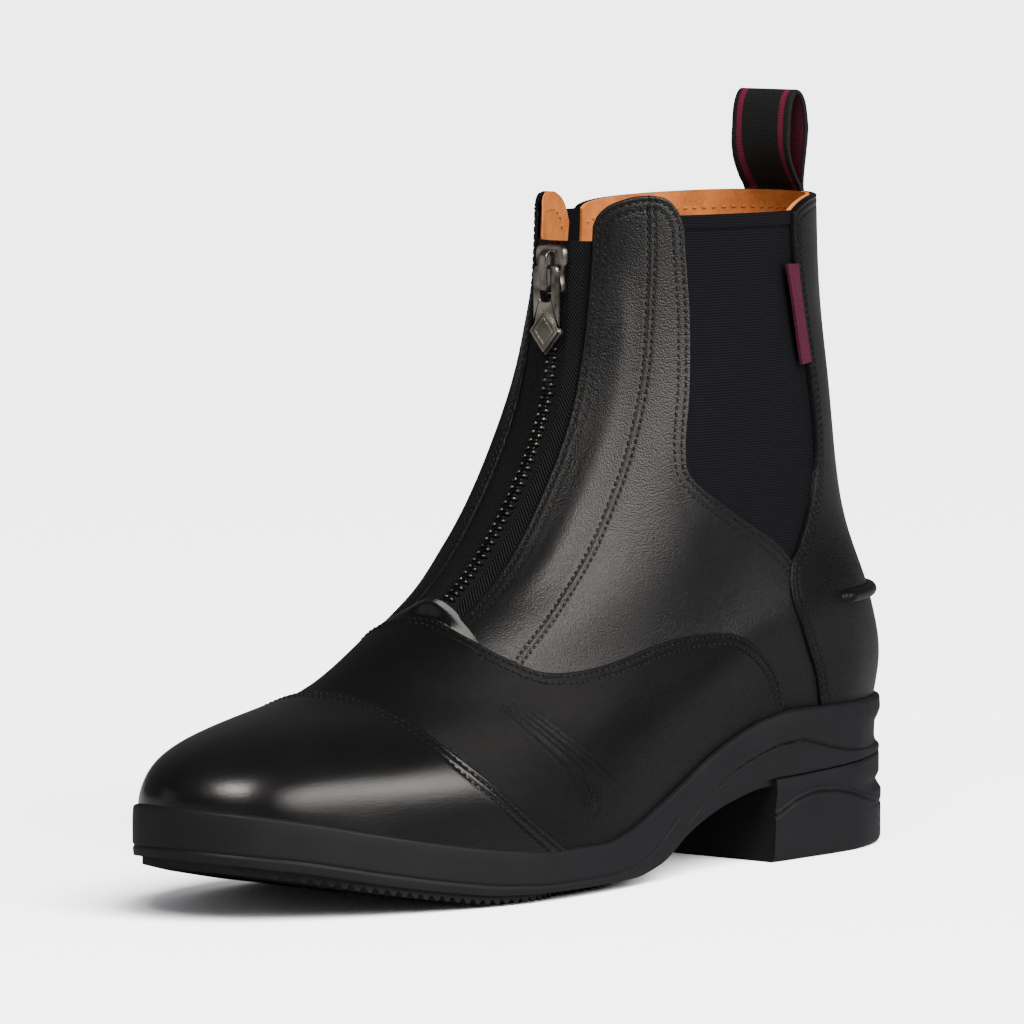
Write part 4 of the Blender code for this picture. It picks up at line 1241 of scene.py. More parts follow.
@dataclass
class FootLeather:
    """Toe cap, vamp, the guard at the foot of the zip, and the foot's lining."""

    last: Last
    seams: Seams
    cap_face: float = 1.8
    vamp_face: float = 1.0
    cap_back: float = 0.2
    lap: float = 4.0
    tip: float = 0.012
    lining_face: float = -1.2
    lining_back: float = -2.2
    cap_rows: Pair = (1.5, 3.7)
    vamp_rows: Pair = (1.2, 3.3)
    guard_face: float = 0.5
    guard_deep: float = 9.0
    guard_rise: float = 3.2
    guard_wide: float = 7.5
    guard_free: float = 3.5
    cap_deep: float = 86.0
    vamp_deep: float = 62.0
    under_rand: float = -0.03
    coarse: float = 1.7
    cap_row_step: float = 1.3
    vamp_row_step: float = 1.1
    lining_step: float = 4.0
    wrinkled_columns: Pair = (0.50, 0.78)
    wrinkled_step: float = 0.42
    wrinkled_rows: Triple = (12.0, 57.0, 0.5)
    cap_sunk: float = 0.14
    vamp_sunk: float = 0.12

    def feather(self, first: float, last_one: float) -> Array:
        """The feather line between two steps, a little below the top of the rand."""
        steps = np.linspace(first, last_one, 400)
        return np.column_stack((steps, np.full_like(steps, self.under_rand)))

    def wrinkles(self) -> tuple[Crease, ...]:
        """Wrinkles outside the ball: a bundle down towards the arch and one that turns to the sole."""
        bundles = (
            (9, ((-44.6, 53.4), (-42.0, 48.7), (-38.0, 43.8), (-33.2, 39.0), (-29.6, 35.4)),
             ((-38.6, 53.9), (-32.6, 47.7), (-24.4, 40.8), (-15.0, 34.8), (-9.9, 30.6)), 0.36),
            (6, ((-30.0, 35.8), (-27.9, 32.0), (-25.7, 27.6), (-23.9, 23.4), (-22.9, 20.9)),
             ((-21.4, 33.4), (-18.8, 30.0), (-17.2, 27.5), (-17.2, 24.3), (-18.4, 21.8)), 0.26),
        )
        made = []
        for count, first, second, deep in bundles:
            for i in range(count):
                share = i / (count - 1)
                wander = 0.35 * math.sin(5.1 * i)
                line = tuple((a[0] + (b[0] - a[0]) * share + wander, a[1] + (b[1] - a[1]) * share)
                             for a, b in zip(first, second))
                made.append(Crease(Side.OUTER, line, deep * (1 + 0.3 * math.sin(2.4 * i)), 0.52))
        return tuple(made)

    def puckers(self) -> tuple[Crease, ...]:
        """Short puckers across the guard where the vamp holds it."""
        made = []
        for i in range(5):
            z = 76.6 - 0.55 * i
            line = ((-38.8 - 0.3 * i, z + 0.5), (-40.6 - 0.2 * i, z - 0.3), (-42.2, z - 1.2))
            made.append(Crease(Side.OUTER, line, 0.16, 0.5))
        return tuple(made)

    def build(self, finishes: Finishes, stitching: Stitching) -> None:
        """Make the cap, the vamp, the guard, their seams and their lining."""
        seam = self.seams.over_foot(CAP_SEAM)
        edge = self.seams.over_foot(VAMP_EDGE)
        keep = np.array((self.tip, 1 - self.tip))
        self.build_cap(seam, keep, finishes, stitching)
        self.build_vamp(seam, edge, keep, finishes, stitching)
        self.build_guard(edge, finishes)

    def build_guard(self, edge: Array, finishes: Finishes) -> None:
        """The tab over the foot of the zip: it stands up over the chain and tucks under the vamp."""
        top = self.seams.over_foot(GUARD_TOP)
        foot = self.last.shifted(top, -self.guard_deep)
        columns = graded(self.last.length(top)[-1], 0.7, ())
        rows = graded(self.guard_deep, 0.6, edge_zones(self.guard_deep, True, False))
        grid = spanned(self.last, top, foot, columns, rows)
        points = self.last.at(grid)
        covered = np.interp(grid[..., 0], edge[:, 0], edge[:, 1])
        clear, _ = nearest_on(points, self.last.at(edge))
        free = smoothstep(np.where(grid[..., 1] > covered, clear, 0.0) / self.guard_free)
        rise = self.guard_rise * free * bell(points[..., 0] - ZIP_X, self.guard_wide)
        guard = Panel(self.last, grid, self.guard_face, 0.0, (Border.TOP,), roll=0.45,
                      creases=self.puckers(), extra=rise)
        add_piece("zip_guard", guard.shape(), finishes.polished, stands_for=("upper",))

    def build_cap(self, seam: Array, keep: Array, finishes: Finishes, stitching: Stitching) -> None:
        """The cap from its seam down to the feather line round the toe."""
        seam_cut = self.last.along(seam, np.linspace(*keep, 500))
        base = self.feather(seam_cut[0, 0], seam_cut[-1, 0])
        columns = graded(self.last.length(base)[-1], self.coarse, ())
        rows = graded(self.cap_deep, self.cap_row_step, edge_zones(self.cap_deep, True, False))
        grid = spanned(self.last, seam_cut, base, columns, rows)
        cap = Panel(self.last, grid, self.cap_face, self.cap_back, (Border.TOP,), roll=0.7,
                    rows_at=self.cap_rows, row_deep=0.2, row_wide=0.45)
        add_piece("toe_cap", cap.shape(), finishes.polished, stands_for=("toe_cap",))
        for away in self.cap_rows:
            stitching.row(self.last.shifted(seam, -away)[8:-8], self.cap_face - self.cap_sunk)

    def build_vamp(
        self, seam: Array, edge: Array, keep: Array, finishes: Finishes, stitching: Stitching,
    ) -> None:
        """The vamp from its upper edge down to the cap and the feather line."""
        edge_cut = self.last.along(edge, np.linspace(*keep, 700))
        under = self.last.shifted(seam, -self.lap)
        under = under[under[:, 1] > 0.01]
        inner = self.feather(edge_cut[0, 0], under[0, 0] - 0.004)
        outer = self.feather(under[-1, 0] + 0.004, edge_cut[-1, 0])
        base = np.concatenate((inner, under, outer))
        wide, deep = self.last.length(edge_cut)[-1], self.vamp_deep
        first, last_one = wide * np.array(self.wrinkled_columns)
        columns = graded(wide, self.coarse, ((first, last_one, self.wrinkled_step),))
        zones = edge_zones(deep, True, False) + [self.wrinkled_rows]
        rows = graded(deep, self.vamp_row_step, zones)
        grid = spanned(self.last, edge_cut, base, columns, rows)
        vamp = Panel(self.last, grid, self.vamp_face, 0.0, (Border.TOP,), roll=0.7,
                     rows_at=self.vamp_rows, row_deep=0.18, row_wide=0.42, creases=self.wrinkles())
        add_piece("vamp", vamp.shape(), finishes.leather, stands_for=("vamp",))
        for away in self.vamp_rows:
            stitching.row(self.last.shifted(edge, -away)[8:-8], self.vamp_face - self.vamp_sunk)
        feather = self.feather(edge_cut[0, 0], edge_cut[-1, 0])
        columns, rows = (graded(length, self.lining_step, ()) for length in (wide, deep))
        lining = spanned(self.last, edge_cut, feather, columns, rows)
        panel = Panel(self.last, lining, self.lining_face, self.lining_back)
        add_piece("foot_lining", panel.shape(), finishes.lining, stands_for=("upper",))


@dataclass
class FrontPanel:
    """The quarter on one side: from the zip edge past the panel line to the gore and the heel."""

    last: Last
    seams: Seams
    side: Side
    face: float = 0.0
    back: float = -0.9
    lining_face: float = -1.7
    lining_back: float = -2.3
    line_gap: float = 1.05
    edge_rows: Pair = (1.6, 4.0)
    lining_row: float = 5.0
    notch_at: Pair = (0.393, 0.49)
    roll_at: float = 11.0
    roll_wide: float = 3.4
    roll_rise: float = 0.95
    line_sunk: float = 0.17
    long: float = 150.0
    ankle_low: Pair = (78.0, 14.0)
    ankle_high: Pair = (174.0, 24.0)
    edge_sunk: float = 0.1
    row_sunk: float = 0.12
    coarse: float = 1.35
    lining_step: float = 3.2
    front_wide: float = 16.0
    behind_wide: float = 60.0

    def __post_init__(self) -> None:
        """Work out the paths down the zip edge, the panel line and the gore edge, and along the top."""
        outer = self.side is Side.OUTER
        gore = (GORE_FRONT, UNDER_COUNTER) if outer else (INNER_GORE_FRONT, INNER_UNDER)
        self.zip_edge = self.seams.zip_edge(self.side)
        self.line = self.seams.side(self.side, PANEL_LINE)
        self.gore = self.seams.side(self.side, *gore)
        front = self.seams.side(self.side, PANEL_TOP_FRONT)[:-1]
        behind = self.seams.side(self.side, PANEL_TOP_BACK if outer else INNER_TOP_BACK)[1:-1]
        self.top_front = np.concatenate((self.zip_edge[:1], front, self.line[:1]))
        self.top_behind = np.concatenate((self.line[:1], behind, self.gore[:1]))

    def grid(self, coarse: float, fine: bool) -> tuple[Array, int]:
        """Places of the panel, and the column of the panel line.

        Rows meet the panel line lower than the gore edge, so that they run into the gore's notch.
        """
        foot = self.seams.side(self.side, QUARTER_FOOT)
        rows = graded(self.long, coarse, edge_zones(self.long, fine, False))
        front = graded(self.front_wide, coarse, edge_zones(self.front_wide, fine, fine))
        behind = graded(self.behind_wide, coarse, edge_zones(self.behind_wide, fine, fine))
        line_rows = np.interp(rows, (0, self.notch_at[0], 1), (0, self.notch_at[1], 1))
        first_foot = straight(self.zip_edge[-1], self.line[-1])
        first = coons(self.last, self.zip_edge, self.line, self.top_front, first_foot, front, line_rows)
        second = coons(self.last, self.line, self.gore, self.top_behind, foot, behind, rows, line_rows)
        return np.concatenate((first, second[:, 1:]), axis=1), len(front) - 1

    def line_relief(self, grid: Array, column: int) -> Array:
        """A soft roll beside the zip hem, and two stitched dips on the panel line with a ridge between."""
        points = self.last.at(grid)
        run = run_along(points, 1)
        off = run - run[:, column:column + 1]
        dips = bell(off - self.line_gap, 0.45) + bell(off + self.line_gap, 0.45)
        z = points[..., 2]
        (low, rise), (high, fall) = self.ankle_low, self.ankle_high
        ankle = smoothstep((z - low) / rise) * smoothstep((high - z) / fall)
        roll = self.roll_rise * ankle * bell(run - self.roll_at, self.roll_wide)
        return roll + 0.1 * bell(off, 0.9) - self.line_sunk * dips

    def creases(self) -> tuple[Crease, ...]:
        """A few short wrinkles beside the zip edge where the ankle bends."""
        made = []
        for i in range(5):
            drop = 3.1 * i
            line = ((17.5, 150.5 - drop), (20.0, 152.5 - drop), (23.0, 153.6 - drop))
            made.append(Crease(self.side, line, 0.16, 0.7))
        return tuple(made)

    def build(self, finishes: Finishes, stitching: Stitching) -> None:
        """Make the leather, its lining and its stitch rows."""
        name = self.side.name.lower()
        grid, column = self.grid(self.coarse, True)
        panel = Panel(self.last, grid, self.face, self.back, THREE_EDGES, roll=0.6,
                      rows_at=self.edge_rows, row_deep=0.13, row_wide=0.42,
                      creases=self.creases(), extra=self.line_relief(grid, column))
        add_piece("quarter_" + name, panel.shape(), finishes.leather, stands_for=("upper",))
        inner, _ = self.grid(self.lining_step, False)
        lining = Panel(self.last, inner, self.lining_face, self.lining_back, THREE_EDGES, roll=0.3)
        add_piece("lining_" + name, lining.shape(), finishes.lining, stands_for=("upper",))
        self.sew(stitching)

    def sew(self, stitching: Stitching) -> None:
        """Two rows round the edge and two along the panel line."""
        gore_only = self.gore[: int(len(self.gore) * (0.56 if self.side is Side.OUTER else 0.5))]
        tops = (self.top_front[:-1], self.top_behind[:-1])
        round_edge = np.concatenate((self.zip_edge[:0:-1], *tops, gore_only))
        for away in self.edge_rows:
            row = self.last.shifted(round_edge, -self.side.value * away)
            stitching.row(row[10:], self.face - self.edge_sunk)
        for away in (-self.line_gap, self.line_gap):
            stitching.row(self.last.shifted(self.line, away)[6:-10], self.face - self.row_sunk)

    def sew_lining(self, stitching: Stitching) -> None:
        """One row of tan thread inside the top edge and the zip edge."""
        edge = np.concatenate((self.zip_edge[40:0:-1], self.top_front[:-1], self.top_behind))
        row = self.last.shifted(edge, -self.side.value * self.lining_row)
        stitching.row(row, self.lining_back, inside=True)


@dataclass
class BackPanel:
    """The back panel from gore to gore round the heel, the spur rest and the side tab."""

    last: Last
    seams: Seams
    face: float = 0.8
    back: float = -0.9
    lining_face: float = -0.95
    lining_back: float = -2.3
    edge_rows: Pair = (1.3, 3.3)
    lining_row: float = 5.0
    spur_z: float = 73.6
    spur_radius: float = 1.95
    spur_out: float = 1.25
    spur_sunk: float = -1.6
    spur_front_y: float = 97.0
    edge_sunk: float = 0.1
    coarse: float = 1.5
    lining_step: float = 3.4
    long: float = 165.0
    wide: float = 150.0

    def __post_init__(self) -> None:
        """Work out the paths down both edges and along both halves of the top."""
        self.outer = self.seams.side(Side.OUTER, GORE_BACK, COUNTER_SEAM)
        self.inner = self.seams.side(Side.INNER, INNER_BACK_EDGE)
        self.outer_top = self.seams.side(Side.OUTER, BACK_TOP)
        self.inner_top = self.seams.side(Side.INNER, INNER_BACK_TOP)[::-1] + FULL_TURN

    def grid(self, coarse: float, fine: bool) -> Array:
        """Places of the panel, from its outer edge round the heel to its inner edge."""
        start, end = self.outer, self.inner + FULL_TURN
        top = np.concatenate((start[:1], self.outer_top[1:-2], self.inner_top[2:-1], end[:1]))
        rows = graded(self.long, coarse, edge_zones(self.long, fine, False))
        columns = graded(self.wide, coarse, edge_zones(self.wide, fine, fine))
        return coons(self.last, start, end, top, straight(start[-1], end[-1]), columns, rows)

    def build(self, finishes: Finishes, stitching: Stitching) -> None:
        """Make the leather, its lining, the spur rest, the tab and the stitch rows."""
        grid = self.grid(self.coarse, True)
        panel = Panel(self.last, grid, self.face, self.back, THREE_EDGES, roll=0.6,
                      rows_at=self.edge_rows, row_deep=0.13, row_wide=0.42)
        add_piece("back_panel", panel.shape(), finishes.leather, stands_for=("counter", "upper"))
        inner = self.grid(self.lining_step, False)
        lining = Panel(self.last, inner, self.lining_face, self.lining_back, THREE_EDGES, roll=0.4)
        add_piece("lining_back", lining.shape(), finishes.lining, stands_for=("upper",))
        for away in self.edge_rows:
            stitching.row(self.last.shifted(self.outer, away)[10:-14], self.face - self.edge_sunk)
            stitching.row(self.last.shifted(self.inner, -away)[10:-14], self.face - self.edge_sunk)
        self.build_spur_rest(finishes)
        self.build_tab(finishes)

    def sew_lining(self, stitching: Stitching) -> None:
        """One row of tan thread inside the top edge."""
        edge = np.concatenate((self.outer_top[:-2], self.inner_top[2:]))
        stitching.row(self.last.shifted(edge, -self.lining_row), self.lining_back, inside=True)

    def build_spur_rest(self, finishes: Finishes) -> None:
        """A round bar across the back whose ends go down into the leather."""
        share = np.linspace(0, 1, 110)
        side_y = np.array(((self.spur_front_y, self.spur_z), (115.0, self.spur_z), (136.0, self.spur_z)))
        outer = self.last.from_side(Side.OUTER, through(side_y, 20))
        inner = self.last.from_side(Side.INNER, through(side_y, 20))[::-1] + FULL_TURN
        path = self.last.along(np.concatenate((outer, inner)), share)
        points, out, _, _ = self.last.frame(path)
        dive = smoothstep(np.minimum(share, 1 - share) / 0.06)
        middle = points + out * (self.spur_sunk + (self.spur_out - self.spur_sunk) * dive)[:, None]
        up = np.cross(out, unit(np.gradient(points, axis=0)))
        angle = np.linspace(0, 2 * math.pi, 20, endpoint=False)
        ring = np.cos(angle)[None, :, None] * out[:, None] + np.sin(angle)[None, :, None] * up[:, None]
        add_piece("spur_rest", tube(middle[:, None] + ring * self.spur_radius), finishes.leather,
                  stands_for=("spur_rest",))

    def build_tab(self, finishes: Finishes) -> None:
        """A folded ribbon caught in the seam behind the gore: it lifts towards its free edge."""
        front_top, back_top, back_foot, front_foot = self.last.from_side(Side.OUTER, TAB)
        u, v = np.linspace(0, 1, 14)[None, :, None], np.linspace(0, 1, 40)[:, None, None]
        grid = (1 - v) * ((1 - u) * front_top + u * back_top) + v * ((1 - u) * front_foot + u * back_foot)
        lift = 0.5 + 0.5 * (1 - u[..., 0]) + 0.25 * np.sin(v[..., 0] * 5.0) * (1 - u[..., 0])
        outer = self.last.lift(grid, lift + 0.55)
        inner = self.last.lift(grid, lift - 0.35)
        add_piece("side_tab", slab(outer, inner), finishes.ribbon, stands_for=("side_tab",))


@dataclass
class Gore:
    """An elastic panel between leather edges, with a folded binding along its top."""

    last: Last
    seams: Seams
    side: Side
    face: float = -0.95
    back: float = -1.65
    tuck: float = 4.0
    binding: float = 4.0
    long: float = 110.0
    wide: float = 50.0
    coarse: float = 2.0
    top_zone: Triple = (0.0, 6.0, 0.4)

    def build(self, finishes: Finishes) -> None:
        """Make the elastic: its top 4 mm stands out as a folded band over a shallow dip."""
        if self.side is Side.OUTER:
            front = self.seams.side(self.side, ((39.2, GORE_TOP),), GORE_FRONT[1:])
            behind = self.seams.side(self.side, ((80.5, GORE_TOP),), GORE_BACK[1:])
            name = "gore_outer"
        else:
            front = self.seams.side(self.side, ((45.5, GORE_TOP),), INNER_GORE_FRONT[1:])
            behind = self.seams.side(self.side, ((53.0, GORE_TOP),), INNER_BACK_EDGE[1:6])
            name = "gore_inner"
        front = self.last.shifted(front, -self.side.value * self.tuck)
        behind = self.last.shifted(behind, self.side.value * self.tuck)
        rows = graded(self.long, self.coarse, (self.top_zone,))
        columns = graded(self.wide, self.coarse, ())
        ends = self.last.at(front[0])[1], self.last.at(behind[0])[1]
        top = self.last.from_side(self.side, np.column_stack((np.linspace(*ends, 30), np.full(30, GORE_TOP))))
        grid = coons(self.last, front, behind, top, straight(front[-1], behind[-1]), columns, rows)
        drop = GORE_TOP - self.last.at(grid)[..., 2]
        band = 0.45 * (1 - smoothstep((drop - self.binding + 0.3) / 0.6))
        band -= 0.25 * bell(drop - self.binding - 0.5, 0.5)
        panel = Panel(self.last, grid, self.face, self.back, (Border.TOP,), roll=0.5, extra=band)
        add_piece(name, panel.shape(), finishes.elastic, stands_for=(name,))


@dataclass
class Zip:
    """Tapes, teeth, slider and pull of the front zip."""

    last: Last
    seams: Seams
    tape_face: float = -0.95
    tape_back: float = -1.6
    outer_reach: float = 12.5
    inner_reach: float = 17.0
    tape_top: float = 178.3
    foot: float = 75.0
    chain_gap: float = -0.05
    tape_long: float = 112.0
    tape_steps: Pair = (0.8, 1.6)
    bead_zone: Triple = (0.0, 3.0, 0.3)
    tooth_pitch: float = 2.45
    tooth_top: float = 163.5
    tooth_foot: float = 79.5
    slider_top: float = 177.0
    slider_long: float = 13.2
    slider_half: float = 5.2
    slider_back_y: float = 12.6
    slider_front_y: float = 10.2
    hinge_y: float = 9.25
    hinge_z: float = 171.0
    bridge_foot: float = 6.6
    bridge_head: float = 4.4
    bridge_rise: float = 2.4
    pull_thick: float = 1.2
    arm_half: float = 4.6
    slot_half: float = 2.05
    slot_long: float = 9.8
    neck_long: float = 16.6
    diamond_half: float = 5.7
    diamond_middle: float = 18.0
    diamond_tall: float = 6.7
    plaque_share: float = 0.92
    plaque_rise: float = 0.95

    def build(self, finishes: Finishes) -> None:
        """Make both tapes, the chain, the slider and the pull."""
        for side in Side:
            self.build_tape(side, finishes)
        self.build_teeth(finishes)
        self.build_slider(finishes)
        self.build_pull(finishes)

    def build_tape(self, side: Side, finishes: Finishes) -> None:
        """One tape, with a corded bead beside the chain."""
        reach = self.outer_reach if side is Side.OUTER else self.inner_reach
        near = self.seams.beside_zip(side, self.chain_gap, self.tape_top, self.foot)
        far = self.seams.beside_zip(side, reach, self.tape_top, self.foot)
        columns = graded(reach, self.tape_steps[0], (self.bead_zone,))
        rows = graded(self.tape_long, self.tape_steps[1], ())
        top, foot = straight(near[0], far[0]), straight(near[-1], far[-1])
        grid = coons(self.last, near, far, top, foot, columns, rows)
        points = self.last.at(grid)
        across, down = run_along(points, 1), run_along(points)
        bead = 0.45 * bell(across - 1.1, 0.7)
        outer = self.last.lift(grid, self.tape_face + bead)
        inner = self.last.lift(grid, np.full(grid.shape[:2], self.tape_back))
        name = "zip_tape_" + side.name.lower()
        shape = slab(outer, inner, np.stack((across, down), axis=-1))
        add_piece(name, shape, finishes.tape, stands_for=(name,))

    @staticmethod
    def blocks(middle: Array, axes: Sequence[Array], half: Pair, rows: Array) -> Shape:
        """Eight-sided blocks with chamfered heads.

        Args:
            middle: middle of each block.
            axes: its directions across, along the chain and out.
            half: half of its length across and along.
            rows: height and size of each of its three levels.

        Returns:
            All the blocks as one shape.
        """
        corner = np.array(((1, 0.5), (0.7, 1), (-0.7, 1), (-1, 0.5)))
        corner = np.concatenate((corner, -corner))
        ring = corner[None] * rows[:, 1, None, None] * half
        across, ahead, out = (axis[:, None, None] for axis in axes)
        rings = middle[:, None, None] + across * ring[None, ..., :1] + ahead * ring[None, ..., 1:]
        rings = rings + out * rows[None, :, :1, None]
        ends = np.array((
            (3, 2, 1, 0), (7, 4, 3, 0), (7, 6, 5, 4), (16, 17, 18, 19), (16, 19, 20, 23), (20, 21, 22, 23),
        ))
        each = np.concatenate((grid_faces(3, 8, wrap_columns=True), ends))
        faces = (each[None] + 24 * np.arange(len(middle))[:, None, None]).reshape(-1, 4)
        return Shape(rings.reshape(-1, 3), [faces]).turned_out()

    def build_teeth(self, finishes: Finishes) -> None:
        """Two rows of teeth that mesh in the middle: blocks in a dark copy of the metal, with small heads in
        a brighter copy of it that paints their highlight.
        """
        z = np.linspace(self.tooth_top, self.tooth_foot, 300)
        path = self.last.from_front(np.column_stack((np.full_like(z, ZIP_X), z)))
        count = int(self.last.length(path)[-1] / self.tooth_pitch)
        bodies, heads = [], []
        for side, phase in ((1.0, 0.25), (-1.0, 0.75)):
            places = self.last.along(path, (np.arange(count) + phase) / count)
            points, out, along, _ = self.last.frame(places)
            across = unit(along) * side
            axes = (across, np.cross(out, across), out)
            base = points + out * (self.tape_face + 0.35)
            body_rows = np.array(((-0.75, 1.0), (0.3, 1.0), (0.6, 0.8)))
            bodies.append(self.blocks(base + across * 0.6, axes, (1.6, 0.62), body_rows))
            head_rows = np.array(((0.2, 1.0), (0.66, 1.0), (0.9, 0.55)))
            heads.append(self.blocks(base + across * 1.2, axes, (0.46, 0.46), head_rows))
        # Bodies take the shaded copy of the metal and heads the brighter copy: a painted highlight on each
        # tooth's head.
        add_piece("zip_teeth", joined(bodies), finishes.teeth, stands_for=("zip_teeth",),
                  sharp=30.0)
        add_piece("zip_tooth_heads", joined(heads), finishes.heads, sharp=50.0)

    @staticmethod
    def inset(outline: Array, by: float) -> Array:
        """A closed outline in front view moved inwards, each point square to its neighbours."""
        along = np.roll(outline, -1, axis=0) - np.roll(outline, 1, axis=0)
        normal = unit(np.column_stack((-along[:, 1], along[:, 0])))
        ahead = np.roll(outline, -1, axis=0)
        area = np.sum(outline[:, 0] * ahead[:, 1] - ahead[:, 0] * outline[:, 1])
        return outline + normal * by * np.sign(area)

    def ring(self, outline: Array, by: float, y: float) -> Array:
        """An outline in front view, drawn in and set at a depth."""
        drawn = self.inset(outline, by)
        return np.column_stack((drawn[:, 0], np.full(len(drawn), y), drawn[:, 1]))

    def plate(self, outline: Array, depths: Table) -> Shape:
        """A plate in front view through rows of depth and of how far its edge draws in."""
        return tube(np.array([self.ring(outline, by, y) for y, by in depths]))

    def bar(self, path: Array, half_wide: float, half_thick: float) -> Shape:
        """A bent bar with a rounded section, along a path of y and z at the middle of the zip."""
        along = unit(np.gradient(path, axis=0))
        normal = np.column_stack((-along[:, 1], along[:, 0]))
        angle = np.linspace(0, 2 * math.pi, 16, endpoint=False)
        flat_cos = np.sign(np.cos(angle)) * np.abs(np.cos(angle)) ** 0.6
        flat_sin = np.sign(np.sin(angle)) * np.abs(np.sin(angle)) ** 0.6
        x = np.broadcast_to(ZIP_X + half_wide * flat_cos, (len(path), 16))
        side = path[:, None] + normal[:, None] * (half_thick * flat_sin)[None, :, None]
        return tube(np.concatenate((x[..., None], side), axis=-1))

    def build_slider(self, finishes: Finishes) -> None:
        """The slider: a shouldered body, a raised crown and the bridge."""
        low, top, half = self.slider_top - self.slider_long, self.slider_top, self.slider_half
        back, front = self.slider_back_y, self.slider_front_y
        side = ((half * 0.76, low), (half * 0.78, low + 5.0), (half * 0.86, low + 6.8), (half, low + 8.4),
                (half, top - 1.6), (half * 0.7, top))
        body = through(side + tuple((-x, z) for x, z in side[::-1]), 5, closed=True) + (ZIP_X, 0.0)
        crown = (body - (ZIP_X, low + 6.5)) * (0.6, 0.8) + (ZIP_X, low + 6.5)
        depths = ((back, 0.5), (back - 0.4, 0.0), (front + 0.8, 0.0), (front + 0.35, 0.25),
                  (front + 0.25, 0.8))
        shapes = [
            self.plate(body, depths),
            self.plate(crown, ((front + 0.5, 0.0), (front + 0.2, 0.1), (front, 0.6))),
        ]
        foot, head = self.hinge_z - self.bridge_foot, self.hinge_z + self.bridge_head
        rise = front - self.bridge_rise
        path = through(((front + 0.6, foot), (front - 1.2, foot + 0.1), (rise, foot + 1.9),
                        (rise, head - 1.9), (front - 1.2, head - 0.1), (front + 0.6, head)), 8)
        shapes.append(self.bar(path, 1.45, 0.5))
        add_piece("zip_slider", joined(shapes), finishes.nickel, stands_for=("zip_slider",),
                  sharp=35.0)

    def diamond(self, rows: Table) -> Shape:
        """Rhombs with slightly blunt corners, stacked forward.

        Args:
            rows: size of each rhomb beside the pull's own, and how far it stands in front.

        Returns:
            The closed stack, where the pull hangs.
        """
        half, tall = self.diamond_half * self.plaque_share, self.diamond_tall * self.plaque_share
        corner = np.array(((half, 0.0), (0.0, -tall), (-half, 0.0), (0.0, tall)))
        before, after = np.roll(corner, 1, axis=0), np.roll(corner, -1, axis=0)
        ring = np.stack((corner * 0.92 + before * 0.08, corner * 0.985, corner * 0.92 + after * 0.08), axis=1)
        ring = ring.reshape(-1, 2)
        front = self.hinge_y - self.pull_thick / 2
        rings = [
            np.column_stack((ZIP_X + ring[:, 0] * size, np.full(len(ring), front - by),
                             self.hinge_z - self.diamond_middle + ring[:, 1] * size))
            for size, by in rows
        ]
        return tube(np.array(rings))

    def build_pull(self, finishes: Finishes) -> None:
        """The pull: a square-sided slotted neck, and a raised diamond with two borders round its field."""
        arm, slot, half = self.arm_half, self.slot_half, self.diamond_half
        middle, tip = -self.diamond_middle, -self.diamond_middle - self.diamond_tall
        shoulder = through(((0.0, 0.5), (arm - 1.4, 0.5), (arm, -0.9), (arm, -3.0)), 4)
        neck = np.column_stack((np.full(6, arm), np.linspace(-4.0, -self.neck_long, 6)))
        corner = np.array(((half, middle + 0.5), (half, middle - 0.5), (half * 0.5, (middle + tip) / 2 - 0.2),
                           (0.6, tip + 0.3), (0.0, tip)))
        outer = np.concatenate((shoulder, neck, corner))
        in_slot = through(((0.0, -0.6), (slot * 0.8, -0.65), (slot, -1.5), (slot, -3.2)), 4)
        down = np.column_stack((np.full(6, slot), np.linspace(-3.8, 0.8 - self.slot_long, 6)))
        turn = np.linspace(0, math.pi / 2, len(corner) + 1)[1:]
        slot_foot = np.column_stack((slot * np.cos(turn), 0.8 - self.slot_long - 0.8 * np.sin(turn)))
        inner = np.concatenate((in_slot, down, slot_foot))
        outer, inner = (np.concatenate((o, o[-2:0:-1] * (-1, 1))) for o in (outer, inner))
        thick = self.pull_thick / 2
        rows = ((inner, 0.0, thick - 0.2), (inner, -0.2, thick),
                (outer, 0.3, thick), (outer, 0.0, thick - 0.3),
                (outer, 0.0, 0.3 - thick), (outer, 0.3, -thick),
                (inner, -0.2, -thick), (inner, 0.0, 0.2 - thick))
        rings = [self.ring(*row) for row in rows]
        place = np.array((ZIP_X, self.hinge_y, self.hinge_z))
        faces = grid_faces(len(rings), len(outer), True, True)
        plate = Shape(np.concatenate(rings) + place, [faces]).turned_out()
        rise = self.plaque_rise
        plaque = self.diamond(((1.0, -0.3), (1.0, rise - 0.25), (0.96, rise), (0.87, rise),
                               (0.83, rise - 0.35), (0.5, rise - 0.35)))
        border = self.diamond(((0.64, rise - 0.5), (0.64, rise - 0.25), (0.62, rise - 0.15),
                               (0.58, rise - 0.15), (0.56, rise - 0.25), (0.56, rise - 0.5)))
        add_piece("zip_pull", joined((plate, plaque, border)), finishes.nickel, Body.PULL,
                  stands_for=("zip_pull",), sharp=30.0)
        dark = self.diamond(((0.84, rise - 0.5), (0.84, rise - 0.31), (0.3, rise - 0.31)))
        add_piece("pull_field", dark, finishes.antiqued, Body.PULL, sharp=30.0)


